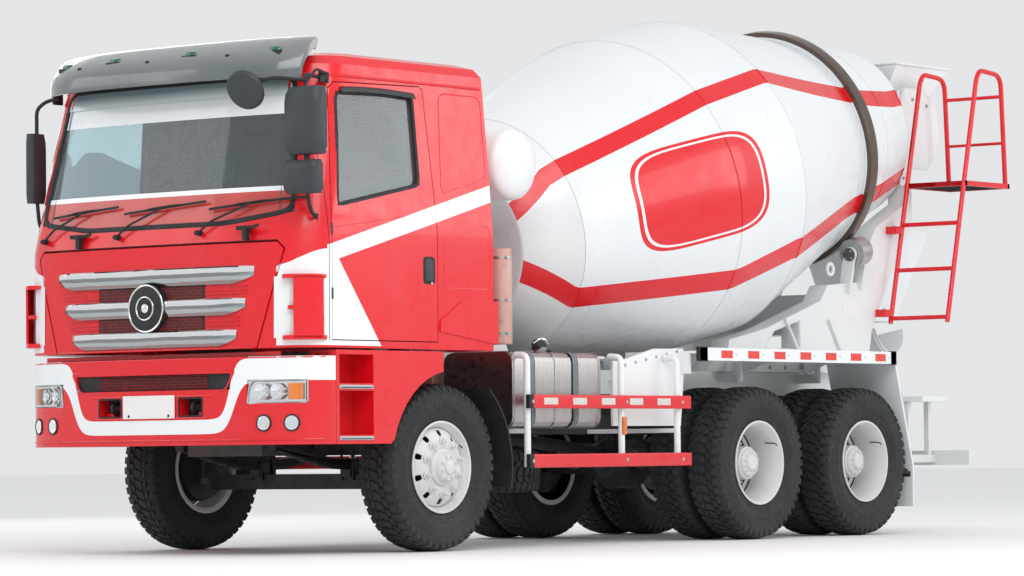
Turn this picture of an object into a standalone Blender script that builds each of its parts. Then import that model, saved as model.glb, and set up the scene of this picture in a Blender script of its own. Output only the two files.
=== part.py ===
"""Concrete mixer truck: a forward-control 6x4 with a tilting cab and a rear-discharge drum.

Metres, +Z up.  The truck faces -Y and its left side is +X.  Every y below is measured rearwards
from the front axle and every x from the truck's centreline; LENGTH_SHIFT and SIDE_SHIFT at the
end centre its bounding box on the origin.
"""
import math

import bmesh
import bpy
from mathutils import Matrix, Vector

for old in list(bpy.data.objects):
    bpy.data.objects.remove(old, do_unlink=True)

# ---------------------------------------------------------------- driving dimensions
FIT = 0.0003            # rest gap between pieces that touch
PIN = 0.0006            # running gap round a pin
PIN_FACETS = 12
WHEELBASE = 3.45        # front axle to first driven axle
TANDEM = 1.35           # between the two driven axles
TYRE_R = 0.5425
TYRE_W = 0.29
WHEEL_FACETS = 24
HUB_Z = TYRE_R * math.cos(math.pi / WHEEL_FACETS)
FRONT_X = 1.02          # middle of a front tyre
KINGPIN_X = 0.90
REAR_OUT_X = 1.095      # middle of an outer rear tyre
REAR_IN_X = 0.765
RIM_LIP_R = 0.298
BEAD_R = 0.278
STEER_ARM = 0.19

BODY_HALF = 1.245       # half of the truck's width
RAIL_IN = 0.36
RAIL_OUT = 0.43
RAIL_LOW = 0.75
RAIL_TOP = 1.03
RAIL_FRONT = -1.36
RAIL_REAR = 6.15
SUB_TOP = 1.20

CAB_LOW = 1.285
CAB_WALL = 0.045
CAB_REAR = 0.48
CAB_TOP = 3.150
PIVOT_Y = -1.30
PIVOT_Z = 0.95
HOOD_TOP = 1.94
HOOD_LOW = 1.28
HOOD_T = 0.02
DOOR_GAP = 0.006
DOOR_LOW = 1.33

DRUM_TILT = math.radians(12.5)
DRUM_Y = 1.615          # axis at the front head
DRUM_Z = 2.060
DRUM_STATIONS = (0.0, 0.351, 1.764, 2.559, 3.907, 4.77)
DRUM_RADII = (0.55, 0.824, 1.165, 1.185, 0.85, 0.678)
DRUM_WALL = 0.008
RING_S = 3.907
RING_R = 0.917
RING_W = 0.10
ROLLER_R = 0.11
ROLLER_L = 0.13
ROLLER_ANGLE = math.radians(38)
GEAR_R = 0.19

TANK_Y = 1.04
TANK_Z = 2.54
TANK_R = 0.24
TANK_HALF = 0.95

CHUTE_TROUGH_R = 0.20


# ---------------------------------------------------------------- helpers
def material(name, colour, roughness, metallic):
    made = bpy.data.materials.new(name)
    made.use_nodes = True
    shader = made.node_tree.nodes["Principled BSDF"]
    shader.inputs["Base Color"].default_value = (*colour, 1)
    shader.inputs["Roughness"].default_value = roughness
    shader.inputs["Metallic"].default_value = metallic
    return made


def solid(verts, faces):
    mesh = bpy.data.meshes.new("solid")
    mesh.from_pydata([tuple(v) for v in verts], [], faces)
    mesh.update()
    made = bpy.data.objects.new("solid", mesh)
    bpy.context.scene.collection.objects.link(made)
    return made


def turn_out(made):
    """Faces outwards: a closed shape with negative volume is flipped."""
    mesh = made.data
    mesh.calc_loop_triangles()
    volume = 0.0
    for tri in mesh.loop_triangles:
        a, b, c = (mesh.vertices[i].co for i in tri.vertices)
        volume += a.dot(b.cross(c))
    if volume < 0:
        mesh.flip_normals()
    return made


def stray_edges(mesh):
    """How many edges don't join exactly two faces."""
    body = bmesh.new()
    body.from_mesh(mesh)
    count = sum(len(edge.link_faces) != 2 for edge in body.edges)
    body.free()
    return count


def boolean(target, tool, operation):
    """One Boolean step; the exact solver first, the manifold one where its result isn't closed."""
    modifier = target.modifiers.new("cut", "BOOLEAN")
    modifier.operation = operation
    modifier.object = tool
    for solver in ("EXACT", "MANIFOLD"):
        modifier.solver = solver
        graph = bpy.context.evaluated_depsgraph_get()
        mesh = bpy.data.meshes.new_from_object(target.evaluated_get(graph))
        if len(mesh.polygons) and not stray_edges(mesh):
            break
    target.modifiers.clear()
    target.data = mesh
    bpy.data.objects.remove(tool, do_unlink=True)
    return target


def union(first, *others):
    for other in others:
        boolean(first, other, "UNION")
    return first


def cut(first, *others):
    for other in others:
        boolean(first, other, "DIFFERENCE")
    return first


def common(first, other):
    return boolean(first, other, "INTERSECT")


def copy(made):
    again = made.copy()
    again.data = made.data.copy()
    bpy.context.scene.collection.objects.link(again)
    return again


def moved(made, matrix):
    made.data.transform(matrix)
    if matrix.to_3x3().determinant() < 0:
        made.data.flip_normals()
    return made


def mirrored(made):
    return moved(copy(made), Matrix.Diagonal((-1, 1, 1, 1)))


def box(x0, x1, y0, y1, z0, z1):
    verts = [(x, y, z) for x in (x0, x1) for y in (y0, y1) for z in (z0, z1)]
    faces = [(0, 1, 3, 2), (4, 6, 7, 5), (0, 4, 5, 1), (2, 3, 7, 6), (0, 2, 6, 4), (1, 5, 7, 3)]
    return turn_out(solid(verts, faces))


def prism(axis, outline, low, high):
    """An outline swept along an axis.  X takes (y, z), Y takes (x, z), Z takes (x, y)."""
    def place(u, v, w):
        return {"X": (w, u, v), "Y": (u, w, v), "Z": (u, v, w)}[axis]
    n = len(outline)
    verts = [place(u, v, low) for u, v in outline] + [place(u, v, high) for u, v in outline]
    faces = [tuple(range(n)), tuple(range(2 * n - 1, n - 1, -1))]
    faces += [(i, n + i, n + (i + 1) % n, (i + 1) % n) for i in range(n)]
    return turn_out(solid(verts, faces))


def along(origin, direction):
    """The placement whose local Z runs along a direction."""
    turn = Vector(direction).to_track_quat("Z", "Y").to_matrix().to_4x4()
    return Matrix.Translation(origin) @ turn


def lathe(profile, facets, matrix, half_step=True):
    """A closed (along, radius) profile turned about local Z; radius 0 points close on the axis."""
    verts, rings = [], []
    for a, r in profile:
        if r < 1e-9:
            rings.append([len(verts)])
            verts.append((0, 0, a))
            continue
        ring = []
        for k in range(facets):
            angle = 2 * math.pi * (k + (0.5 if half_step else 0)) / facets
            ring.append(len(verts))
            verts.append((r * math.cos(angle), r * math.sin(angle), a))
        rings.append(ring)
    faces = []
    count = len(profile)
    for i in range(count):
        one, two = rings[i], rings[(i + 1) % count]
        if len(one) == 1 and len(two) == 1:
            continue
        for k in range(facets):
            n = (k + 1) % facets
            if len(one) == 1:
                faces.append((one[0], two[k], two[n]))
            elif len(two) == 1:
                faces.append((one[k], two[0], one[n]))
            else:
                faces.append((one[k], two[k], two[n], one[n]))
    made = solid([matrix @ Vector(v) for v in verts], faces)
    return turn_out(made)


def rod(start, end, radius, facets=12):
    start, end = Vector(start), Vector(end)
    length = (end - start).length
    profile = [(0, 0), (0, radius), (length, radius), (length, 0)]
    return lathe(profile, facets, along(start, end - start))


def bore(radius):
    """Radius of a faceted hole whose flats clear a faceted pin at every angle."""
    return (radius + PIN) / math.cos(math.pi / PIN_FACETS)


def ring(centre, direction, outer, inner, length, facets=16):
    half = length / 2
    profile = [(-half, inner), (-half, outer), (half, outer), (half, inner)]
    return lathe(profile, facets, along(centre, direction))


def bent(points, radius, facets=6):
    """A round tube along a bent line, closed at both ends."""
    points = [Vector(p) for p in points]
    verts, faces = [], []
    normal = None
    for i, point in enumerate(points):
        before = (point - points[i - 1]).normalized() if i else None
        after = (points[i + 1] - point).normalized() if i + 1 < len(points) else None
        heading = (before or after) + (after or before)
        heading.normalize()
        side = Vector((1, 0, 0)) if abs(heading.x) < 0.9 else Vector((0, 0, 1))
        if normal is not None:
            side = normal
        across = (side - heading * side.dot(heading)).normalized()
        normal = across
        up = heading.cross(across)
        stretch = 1.0 / max(0.5, heading.dot(after or before))
        bend = None
        if before is not None and after is not None and before.cross(after).length > 1e-6:
            bend = heading.cross(before.cross(after)).normalized()
        for k in range(facets):
            angle = 2 * math.pi * (k + 0.5) / facets
            offset = (across * math.cos(angle) + up * math.sin(angle)) * radius
            if bend is not None:
                offset += bend * offset.dot(bend) * (stretch - 1)
            verts.append(point + offset)
    count = len(points)
    for i in range(count - 1):
        for k in range(facets):
            n = (k + 1) % facets
            faces.append((i * facets + k, i * facets + n, (i + 1) * facets + n, (i + 1) * facets + k))
    faces.append(tuple(range(facets - 1, -1, -1)))
    faces.append(tuple(range((count - 1) * facets, count * facets)))
    return turn_out(solid(verts, faces))


def finish(made, name, look, pivot=None, smooth=False):
    """Names a finished piece, gives it its material, and puts its origin on its joint axis."""
    made.name = name
    made.data.name = name
    made.data.materials.clear()
    made.data.materials.append(look)
    for polygon in made.data.polygons:
        polygon.material_index = 0
        polygon.use_smooth = smooth
    if pivot is not None:
        made.data.transform(Matrix.Translation(-Vector(pivot)))
        made.location = pivot
    return made


RED = material("cab_red", (0.60, 0.012, 0.020), 0.30, 0.0)
WHITE = material("body_white", (0.82, 0.83, 0.83), 0.35, 0.0)
BLACK = material("frame_black", (0.022, 0.022, 0.024), 0.55, 0.0)
RUBBER = material("tyre_rubber", (0.018, 0.018, 0.018), 0.85, 0.0)
STEEL = material("bare_steel", (0.45, 0.45, 0.45), 0.40, 1.0)
ALUMINIUM = material("tank_aluminium", (0.62, 0.60, 0.58), 0.30, 1.0)
CAST = material("cast_grey", (0.16, 0.16, 0.17), 0.60, 0.6)
PLASTIC = material("trim_plastic", (0.045, 0.045, 0.050), 0.60, 0.0)
GLASS = material("window_glass", (0.30, 0.36, 0.38), 0.05, 0.0)
VISOR = material("visor_smoke", (0.20, 0.21, 0.22), 0.20, 0.0)
SEAT = material("seat_cloth", (0.09, 0.09, 0.10), 0.90, 0.0)
RUST = material("stack_primer", (0.40, 0.22, 0.19), 0.70, 0.2)

REAR_1_Y = WHEELBASE
REAR_2_Y = WHEELBASE + TANDEM

# ---------------------------------------------------------------- chassis frame
frame = box(RAIL_IN, RAIL_OUT, RAIL_FRONT, RAIL_REAR, RAIL_LOW, RAIL_TOP)
frame = union(frame, box(-RAIL_OUT, -RAIL_IN, RAIL_FRONT, RAIL_REAR, RAIL_LOW, RAIL_TOP))
for y in (-1.20, 0.85, 2.40, 3.00, 5.40, 6.02):
    union(frame, box(-RAIL_IN - 0.01, RAIL_IN + 0.01, y, y + 0.07, RAIL_LOW + 0.04, RAIL_TOP - 0.05))
for side in (-1, 1):
    union(frame, rod((side * 0.42, PIVOT_Y, PIVOT_Z), (side * 0.56, PIVOT_Y, PIVOT_Z), 0.025))
    union(frame, box(*sorted((side * 0.38, side * 0.50)), 0.38, 0.46, 0.96, CAB_LOW - FIT))
SWING_Y = 6.62
union(frame, box(-0.09, 0.09, 6.05, SWING_Y + 0.07, 0.975, 1.030))
union(frame, rod((0, SWING_Y, 0.99), (0, SWING_Y, 1.14), 0.03))
finish(frame, "chassis_frame", BLACK)

sub = box(RAIL_IN, RAIL_OUT, 0.90, 6.10, RAIL_TOP + FIT, SUB_TOP)
sub = union(sub, box(-RAIL_OUT, -RAIL_IN, 0.90, 6.10, RAIL_TOP + FIT, SUB_TOP))
for y in (0.95, 2.30, 3.90, 5.95):
    union(sub, box(-RAIL_IN - 0.01, RAIL_IN + 0.01, y, y + 0.08, RAIL_TOP + 0.02, SUB_TOP - 0.02))
finish(sub, "mixer_subframe", WHITE)

# ---------------------------------------------------------------- axles and springs
SPRING_X = 0.395
axle = box(-0.80, 0.80, -0.045, 0.045, 0.40, 0.50)
for side in (-1, 1):
    lift = prism("Y", [(side * 0.72, 0.40), (side * 0.82, HUB_Z - 0.055), (side * 0.90, HUB_Z - 0.055),
                       (side * 0.90, HUB_Z + 0.055), (side * 0.84, HUB_Z + 0.055), (side * 0.70, 0.50)],
                 -0.045, 0.045)
    boss = rod((side * KINGPIN_X, 0, HUB_Z - 0.055), (side * KINGPIN_X, 0, HUB_Z + 0.055), 0.055)
    union(axle, lift, boss)
    pin_hole = rod((side * KINGPIN_X, 0, HUB_Z - 0.2), (side * KINGPIN_X, 0, HUB_Z + 0.2), bore(0.025))
    cut(axle, pin_hole)
    leaf = prism("X", [(-0.80, 0.66), (-0.20, 0.56), (0.20, 0.56), (0.80, 0.66),
                       (0.80, 0.69), (0.20, 0.60), (-0.20, 0.60), (-0.80, 0.69)],
                 side * SPRING_X - 0.035, side * SPRING_X + 0.035)
    pad = box(side * SPRING_X - 0.04, side * SPRING_X + 0.04, -0.07, 0.07, 0.48, 0.58)
    union(axle, pad, leaf)
    for y in (-0.80, 0.76):
        union(axle, box(side * SPRING_X - 0.03, side * SPRING_X + 0.03, y, y + 0.04, 0.65, RAIL_LOW - FIT))
finish(axle, "front_axle", BLACK)


def driven_axle(y):
    tube = rod((-0.60, y, HUB_Z), (0.60, y, HUB_Z), 0.075)
    union(tube, rod((-1.00, y, HUB_Z), (1.00, y, HUB_Z), 0.045))
    bowl = lathe([(-0.20, 0), (-0.20, 0.10), (-0.12, 0.18), (0.12, 0.18), (0.20, 0.10), (0.20, 0)],
                 16, along((0, y, HUB_Z), (0, 1, 0)))
    union(tube, bowl)
    for side in (-1, 1):
        union(tube, box(side * SPRING_X - 0.045, side * SPRING_X + 0.045, y - 0.09, y + 0.09, HUB_Z - 0.02, 0.635))
    return tube


finish(driven_axle(REAR_1_Y), "rear_axle_front", BLACK)
finish(driven_axle(REAR_2_Y), "rear_axle_rear", BLACK)

TRUNNION_Y = WHEELBASE + TANDEM / 2
springs = rod((-0.47, TRUNNION_Y, 0.60), (0.47, TRUNNION_Y, 0.60), 0.05)
for side in (-1, 1):
    pack = prism("X", [(REAR_1_Y - 0.12, 0.635 + FIT), (REAR_1_Y + 0.12, 0.635 + FIT), (TRUNNION_Y, 0.57),
                       (REAR_2_Y - 0.12, 0.635 + FIT), (REAR_2_Y + 0.12, 0.635 + FIT), (REAR_2_Y + 0.12, 0.66),
                       (TRUNNION_Y + 0.12, 0.70), (TRUNNION_Y - 0.12, 0.70), (REAR_1_Y - 0.12, 0.66)],
                 side * SPRING_X - 0.04, side * SPRING_X + 0.04)
    hanger = box(side * SPRING_X - 0.03, side * SPRING_X + 0.03, TRUNNION_Y - 0.10, TRUNNION_Y + 0.10,
                 0.60, RAIL_LOW - FIT)
    union(springs, pack, hanger)
finish(springs, "rear_suspension", BLACK)

# ---------------------------------------------------------------- engine and gearbox
engine = box(-0.32, 0.32, -0.80, 0.30, 0.62, 1.36)
union(engine, box(-0.20, 0.20, 0.28, 0.78, 0.66, 1.16))
for side in (-1, 1):
    union(engine, box(side * 0.345 - 0.035, side * 0.345 + 0.035, -0.40, -0.28, RAIL_TOP + FIT, 1.10))
finish(engine, "engine", CAST)

# ---------------------------------------------------------------- knuckles and wheels


def knuckle(side):
    x = side * KINGPIN_X
    pin = rod((x, 0, HUB_Z - 0.10), (x, 0, HUB_Z + 0.10), 0.025)
    for low, high in ((0.055 + 0.004, 0.10), (-0.10, -0.055 - 0.004)):
        ear = rod((x, 0, HUB_Z + low), (x, 0, HUB_Z + high), 0.05)
        arm = box(min(x, x + side * 0.10), max(x, x + side * 0.10), -0.045, 0.045, HUB_Z + low, HUB_Z + high)
        union(pin, ear, arm)
    near, far = x + side * 0.062, x + side * 0.10
    union(pin, box(min(near, far), max(near, far), -0.055, 0.055, HUB_Z - 0.10, HUB_Z + 0.10))
    union(pin, rod((far - side * 0.01, 0, HUB_Z), (x + side * 0.20, 0, HUB_Z), 0.045))
    union(pin, box(x - 0.02, x + 0.02, 0.02, STEER_ARM, HUB_Z - 0.10, HUB_Z - 0.062))
    return pin


for side, word in ((1, "left"), (-1, "right")):
    finish(knuckle(side), f"knuckle_{word}", CAST, (side * KINGPIN_X, 0, HUB_Z))


def tyre_profile(centre):
    """Closed outline of one tyre, from its inner bead round the tread to its outer bead."""
    h = TYRE_W / 2
    return [(centre - 0.100, BEAD_R + FIT), (centre - 0.112, 0.315), (centre - h, 0.43), (centre - 0.112, TYRE_R),
            (centre + 0.112, TYRE_R), (centre + h, 0.43), (centre + 0.112, 0.315), (centre + 0.100, BEAD_R + FIT)]


def wheel_matrix(side, y):
    return along((0, y, HUB_Z), (side, 0, 0))


def twin_profile():
    inner, outer = tyre_profile(REAR_IN_X), tyre_profile(REAR_OUT_X)
    return inner[:6] + [(REAR_IN_X + 0.13, 0.335), (REAR_OUT_X - 0.13, 0.335)] + outer[2:] + [
        (REAR_OUT_X - 0.100, BEAD_R + FIT), (REAR_OUT_X - 0.112, 0.310),
        (REAR_IN_X + 0.112, 0.310), (REAR_IN_X + 0.100, BEAD_R + FIT)]


def front_rim_profile():
    c = FRONT_X
    return [(c - 0.128, 0.262), (c - 0.128, RIM_LIP_R), (c - 0.116, RIM_LIP_R), (c - 0.104, BEAD_R),
            (c + 0.104, BEAD_R), (c + 0.116, RIM_LIP_R), (c + 0.128, RIM_LIP_R), (c + 0.128, 0.270),
            (c + 0.075, 0.250), (c + 0.120, 0.165), (c + 0.130, 0.115), (c + 0.190, 0.105), (c + 0.205, 0.0),
            (c + 0.095, 0.0), (c + 0.095, 0.045 + PIN), (c - 0.010, 0.045 + PIN), (c - 0.010, 0.10),
            (c + 0.085, 0.12), (c + 0.095, 0.165), (c + 0.055, 0.250), (c - 0.110, 0.258)]


def rear_rim_profile():
    i, o = REAR_IN_X, REAR_OUT_X
    disc = (i + o) / 2
    return [(i - 0.128, 0.262), (i - 0.128, RIM_LIP_R), (i - 0.116, RIM_LIP_R), (i - 0.104, BEAD_R),
            (i + 0.104, BEAD_R), (i + 0.116, RIM_LIP_R), (o - 0.116, RIM_LIP_R), (o - 0.104, BEAD_R),
            (o + 0.104, BEAD_R), (o + 0.116, RIM_LIP_R), (o + 0.128, RIM_LIP_R), (o + 0.128, 0.270),
            (disc + 0.030, 0.235), (disc + 0.012, 0.165), (disc + 0.040, 0.12), (o + 0.060, 0.11),
            (o + 0.075, 0.0), (o - 0.060, 0.0), (o - 0.060, 0.045 + PIN), (i - 0.100, 0.045 + PIN),
            (i - 0.100, 0.20), (disc - 0.030, 0.22), (i - 0.110, 0.258)]


def wheel(side, word, label, y, tyre, rim):
    pivot = (side * FRONT_X, y, HUB_Z) if tyre is None else (side * (REAR_IN_X + REAR_OUT_X) / 2, y, HUB_Z)
    place = wheel_matrix(side, y)
    rubber = lathe(tyre or tyre_profile(FRONT_X), WHEEL_FACETS, place)
    finish(rubber, f"tyre_{label}_{word}", RUBBER, pivot, smooth=True)
    finish(lathe(rim, WHEEL_FACETS, place), f"rim_{label}_{word}", WHITE, pivot, smooth=True)


for side, word in ((1, "left"), (-1, "right")):
    wheel(side, word, "front", 0.0, None, front_rim_profile())
    wheel(side, word, "mid", REAR_1_Y, twin_profile(), rear_rim_profile())
    wheel(side, word, "rear", REAR_2_Y, twin_profile(), rear_rim_profile())

# ---------------------------------------------------------------- cab shell
# Cab levels: height, half width, foremost point.
CAB_LEVELS = ((CAB_LOW, 1.235, -1.485), (1.94, 1.240, -1.475), (2.10, 1.235, -1.435), (2.92, 1.165, -1.265),
              (CAB_TOP - 0.090, 1.150, -1.225), (CAB_TOP - 0.035, 1.110, -1.170), (CAB_TOP, 0.98, -1.01))
# Front corner in plan: share of the half width, distance behind the foremost point.
CAB_FRONT = ((0.0, 0.0), (0.36, 0.008), (0.62, 0.028), (0.80, 0.058), (0.88, 0.090), (0.94, 0.140),
             (0.98, 0.200), (1.0, 0.275))


def cab_level(z):
    for (z0, w0, f0), (z1, w1, f1) in zip(CAB_LEVELS, CAB_LEVELS[1:]):
        if z <= z1:
            t = (z - z0) / (z1 - z0)
            return w0 + (w1 - w0) * t, f0 + (f1 - f0) * t
    return CAB_LEVELS[-1][1:]


def inset_loop(points, distance):
    """A closed anticlockwise loop moved inwards by a distance."""
    moved_points = []
    n = len(points)
    for i in range(n):
        a, b, c = Vector(points[i - 1]), Vector(points[i]), Vector(points[(i + 1) % n])
        one, two = (b - a).normalized(), (c - b).normalized()
        in_one, in_two = Vector((-one.y, one.x)), Vector((-two.y, two.x))
        middle = (in_one + in_two).normalized()
        moved_points.append(b + middle * distance / max(0.3, middle.dot(in_one)))
    return moved_points


def cab_section(z, inset):
    half, front = cab_level(z)
    right = [(share * half, front + back) for share, back in CAB_FRONT[1:]]
    lift = max(0.0, z - (CAB_TOP - 0.06)) * 1.2
    rear = [(half, CAB_REAR - 0.05 - lift), (half - 0.05, CAB_REAR - lift)]
    side = right + rear
    loop = [(0.0, front)] + side + [(-x, y) for x, y in reversed(side)]
    return inset_loop(loop, inset)


def cab_body(inset, low, high):
    """The closed cab volume, pulled in all round."""
    levels = [low] + [z for z, _, _ in CAB_LEVELS if low + 0.01 < z < high - 0.01] + [high]
    verts = []
    for z in levels:
        verts += [(p[0], p[1], z) for p in cab_section(z, inset)]
    n = len(verts) // len(levels)
    faces = [tuple(range(n)), tuple(range(len(verts) - 1, len(verts) - n - 1, -1))]
    for i in range(len(levels) - 1):
        for k in range(n):
            m = (k + 1) % n
            faces.append((i * n + k, (i + 1) * n + k, (i + 1) * n + m, i * n + m))
    return turn_out(solid(verts, faces))


def cab_skin(outer, inner, low, high):
    """A thin skin that follows the cab, used for doors, glass and panels."""
    return cut(cab_body(outer, low, high), cab_body(inner, low - 0.2 if low - 0.2 > CAB_LOW else low - 0.0001, high + 0.0))


def shrunk(outline, distance):
    """An anticlockwise outline pulled in by a distance."""
    return [tuple(p) for p in inset_loop([Vector(p) for p in outline], distance)]


def anticlockwise(outline):
    area = sum(a[0] * b[1] - b[0] * a[1] for a, b in zip(outline, outline[1:] + outline[:1]))
    return outline if area > 0 else outline[::-1]


DOOR_EDGE = anticlockwise([(-1.170, DOOR_LOW), (-0.136, DOOR_LOW), (-0.136, 2.10), (-0.187, 2.945), (-0.225, 2.965),
                           (-1.040, 2.945), (-1.085, 2.900), (-1.170, 2.10)])
DOOR_WINDOW = anticlockwise([(-1.100, 2.165), (-0.285, 2.325), (-0.290, 2.905), (-1.030, 2.885)])
SHIELD_EDGE = anticlockwise([(-1.085, 2.125), (-0.60, 2.060), (0.60, 2.060), (1.085, 2.125), (0.985, 2.880),
                             (-0.985, 2.880)])
HOOD_EDGE = anticlockwise([(-0.850, HOOD_LOW), (0.850, HOOD_LOW), (1.045, HOOD_TOP - 0.045), (1.000, HOOD_TOP),
                           (-1.000, HOOD_TOP), (-1.045, HOOD_TOP - 0.045)])
TUNNEL_HALF = 0.40

cab = cab_body(0, CAB_LOW, CAB_TOP)
hood_recess = common(cut(cab_body(-0.02, CAB_LOW, 2.05), cab_body(0.050, CAB_LOW - 0.0001, 2.06)),
                     prism("Y", shrunk(HOOD_EDGE, -0.012)[:], -1.70, -1.10))
cut(cab, hood_recess)
cavity = cab_body(CAB_WALL, 1.34, CAB_TOP - 0.05)
cut(cavity, box(-1.2, 1.2, -1.70, -1.34, 1.30, 2.00))
cut(cavity, box(-TUNNEL_HALF - 0.04, TUNNEL_HALF + 0.04, -1.60, 0.60, 1.20, 1.62))
cut(cavity, box(-1.25, 1.25, -1.60, -0.93, 1.20, 1.42))
cut(cab, cavity)
cut(cab, box(-TUNNEL_HALF, TUNNEL_HALF, -1.00, 0.60, 1.20, 1.58))
cut(cab, box(-0.83, 0.83, -1.60, -0.99, 1.20, 1.38))
cut(cab, prism("Y", SHIELD_EDGE, -1.70, -1.00))
for side in (-1, 1):
    cut(cab, prism("X", DOOR_EDGE, side * 0.90 if side > 0 else -1.40, 1.40 if side > 0 else -0.90))
# wheel-arch flares stand just proud of the cab side behind each door
for side in (-1, 1):
    flare = prism("X", [(-0.12, 1.40), (0.47, CAB_LOW + 0.04), (0.47, 1.60), (0.10, 1.60), (-0.12, 1.47)],
                  *sorted((side * 1.15, side * (BODY_HALF))))
    union(cab, flare)
# air deflectors on the front corners
for side in (-1, 1):
    fin = prism("Z", [(side * 1.09, -1.400), (side * 1.185, -1.330), (side * BODY_HALF, -1.230),
                      (side * BODY_HALF, -1.215), (side * 1.19, -1.20), (side * 1.09, -1.30)], 1.36, 1.72)
    union(cab, fin)
# tilt arms reach down to the pivot pins outside the frame
for side in (-1, 1):
    x0, x1 = sorted((side * 0.45, side * 0.53))
    union(cab, ring(((x0 + x1) / 2, PIVOT_Y, PIVOT_Z), (1, 0, 0), 0.055, bore(0.025), x1 - x0))
    arm = prism("X", [(PIVOT_Y + 0.045, PIVOT_Z - 0.02), (PIVOT_Y + 0.02, PIVOT_Z + 0.045), (-0.97, 1.33),
                      (-0.85, 1.33)], x0, x1)
    union(cab, arm)
    cut(cab, rod((x0 - 0.05, PIVOT_Y, PIVOT_Z), (x1 + 0.05, PIVOT_Y, PIVOT_Z), bore(0.025)))
# steering column stub and wiper bosses stay simple
finish(cab, "cab_shell", RED, (0, PIVOT_Y, PIVOT_Z))

shield = cut(cab_body(0.008, 2.0, 2.95), cab_body(0.014, 1.99, 2.96))
shield = common(shield, prism("Y", shrunk(SHIELD_EDGE, FIT * 2), -1.70, -1.00))
finish(shield, "windshield", GLASS)

hood = cut(cab_body(0, CAB_LOW, 2.05), cab_body(HOOD_T, CAB_LOW - 0.0001, 2.06))
hood = common(hood, prism("Y", HOOD_EDGE, -1.70, -1.10))
for side in (-1, 1):
    lug = common(cut(cab_body(0.010, CAB_LOW, 2.05), cab_body(0.050 - FIT, CAB_LOW - 0.0001, 2.06)),
                 box(*sorted((side * 0.50, side * 0.56)), -1.60, -1.30, 1.885, 1.930))
    union(hood, lug)
HOOD_PIVOT = (0, -1.476, HOOD_TOP)
finish(hood, "front_panel", RED, HOOD_PIVOT)

DOOR_HINGE_Y = -1.150
DOOR_HINGE_X = 1.236


def door_piece(side, outline, outer, inner, low, high):
    skin = cut(cab_body(outer, low, high), cab_body(inner, low - 0.0001, high + 0.0001))
    x0, x1 = sorted((side * 0.90, side * 1.40))
    return common(skin, prism("X", outline, x0, x1))


for side, word in ((1, "left"), (-1, "right")):
    pivot = (side * DOOR_HINGE_X, DOOR_HINGE_Y, 2.0)
    leaf = door_piece(side, shrunk(DOOR_EDGE, DOOR_GAP), 0, 0.05, CAB_LOW, 2.99)
    x0, x1 = sorted((side * 0.90, side * 1.40))
    cut(leaf, prism("X", DOOR_WINDOW, x0, x1))
    finish(leaf, f"door_{word}", RED, pivot)
    pane = door_piece(side, shrunk(DOOR_WINDOW, FIT * 2), 0.022, 0.027, CAB_LOW, 2.99)
    finish(pane, f"door_glass_{word}", GLASS, pivot)

# ---------------------------------------------------------------- cab fittings
VISOR_HALF = 1.11
VISOR_SECTION = ((-1.20, 3.085), (-1.30, 3.105), (-1.49, 3.01), (-1.52, 2.93), (-1.54, 2.93), (-1.525, 3.04),
                 (-1.32, 3.185), (-1.12, 3.225), (-1.10, 3.195))
# Plan of the visor: distance from the middle, how far it is swept back.
VISOR_PLAN = ((0.0, 0.0), (0.45, 0.012), (0.80, 0.075), (0.98, 0.170), (1.07, 0.265), (VISOR_HALF, 0.350))
stations = [(-x, back) for x, back in VISOR_PLAN[:0:-1]] + list(VISOR_PLAN)
verts = []
for x, back in stations:
    verts += [(x, y + back, z) for y, z in VISOR_SECTION]
n = len(VISOR_SECTION)
faces = [tuple(range(n)), tuple(range(len(verts) - 1, len(verts) - n - 1, -1))]
for i in range(len(stations) - 1):
    for k in range(n):
        m = (k + 1) % n
        faces.append((i * n + k, (i + 1) * n + k, (i + 1) * n + m, i * n + m))
visor = turn_out(solid(verts, faces))
cut(visor, cab_body(-0.002, 2.70, CAB_TOP + 0.001))
for side in (-1, 1):
    union(visor, box(*sorted((side * 0.62, side * 0.70)), -1.10, -0.93, CAB_TOP + FIT, 3.205))
finish(visor, "sun_visor", VISOR)


def mirror(side):
    """Main and wide-angle mirror heads on one tubular arm, with the kerb mirror on the left."""
    if side < 0:
        # the right-hand head is folded back against the pillar
        head = box(-1.265, -1.195, -1.315, -1.175, 2.28, 2.74)
        union(head, bent([(-1.23, -1.245, 2.30), (-1.23, -1.245, 2.90), (-1.19, -1.19, 2.955), (-1.09, -1.06, 2.965)],
                         0.013))
        union(head, bent([(-1.23, -1.245, 2.30), (-1.22, -1.235, 2.14), (-1.16, -1.20, 2.08)], 0.013))
        cut(head, cab_body(-0.0005, 2.0, CAB_TOP))
        return head
    head = box(1.14, 1.42, -1.53, -1.40, 2.46, 2.88)
    union(head, box(1.13, 1.40, -1.53, -1.42, 2.22, 2.43))
    x = 1.27
    union(head, bent([(x, -1.44, 2.25), (x, -1.44, 2.92), (1.20, -1.36, 2.965), (1.09, -1.06, 2.965)], 0.013))
    union(head, bent([(x, -1.44, 2.26), (1.25, -1.38, 2.12), (1.16, -1.20, 2.08)], 0.013))
    union(head, bent([(x, -1.44, 2.92), (1.10, -1.55, 2.94), (0.98, -1.60, 2.90)], 0.012))
    union(head, lathe([(0, 0), (0, 0.115), (0.03, 0.13), (0.06, 0.105), (0.075, 0)], 16,
                      along((0.93, -1.627, 2.86), (-0.15, 0.9, 0.45))))
    cut(head, cab_body(-0.0005, 2.0, CAB_TOP))
    return head


finish(mirror(1), "mirror_left", PLASTIC)
finish(mirror(-1), "mirror_right", PLASTIC)

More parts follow.
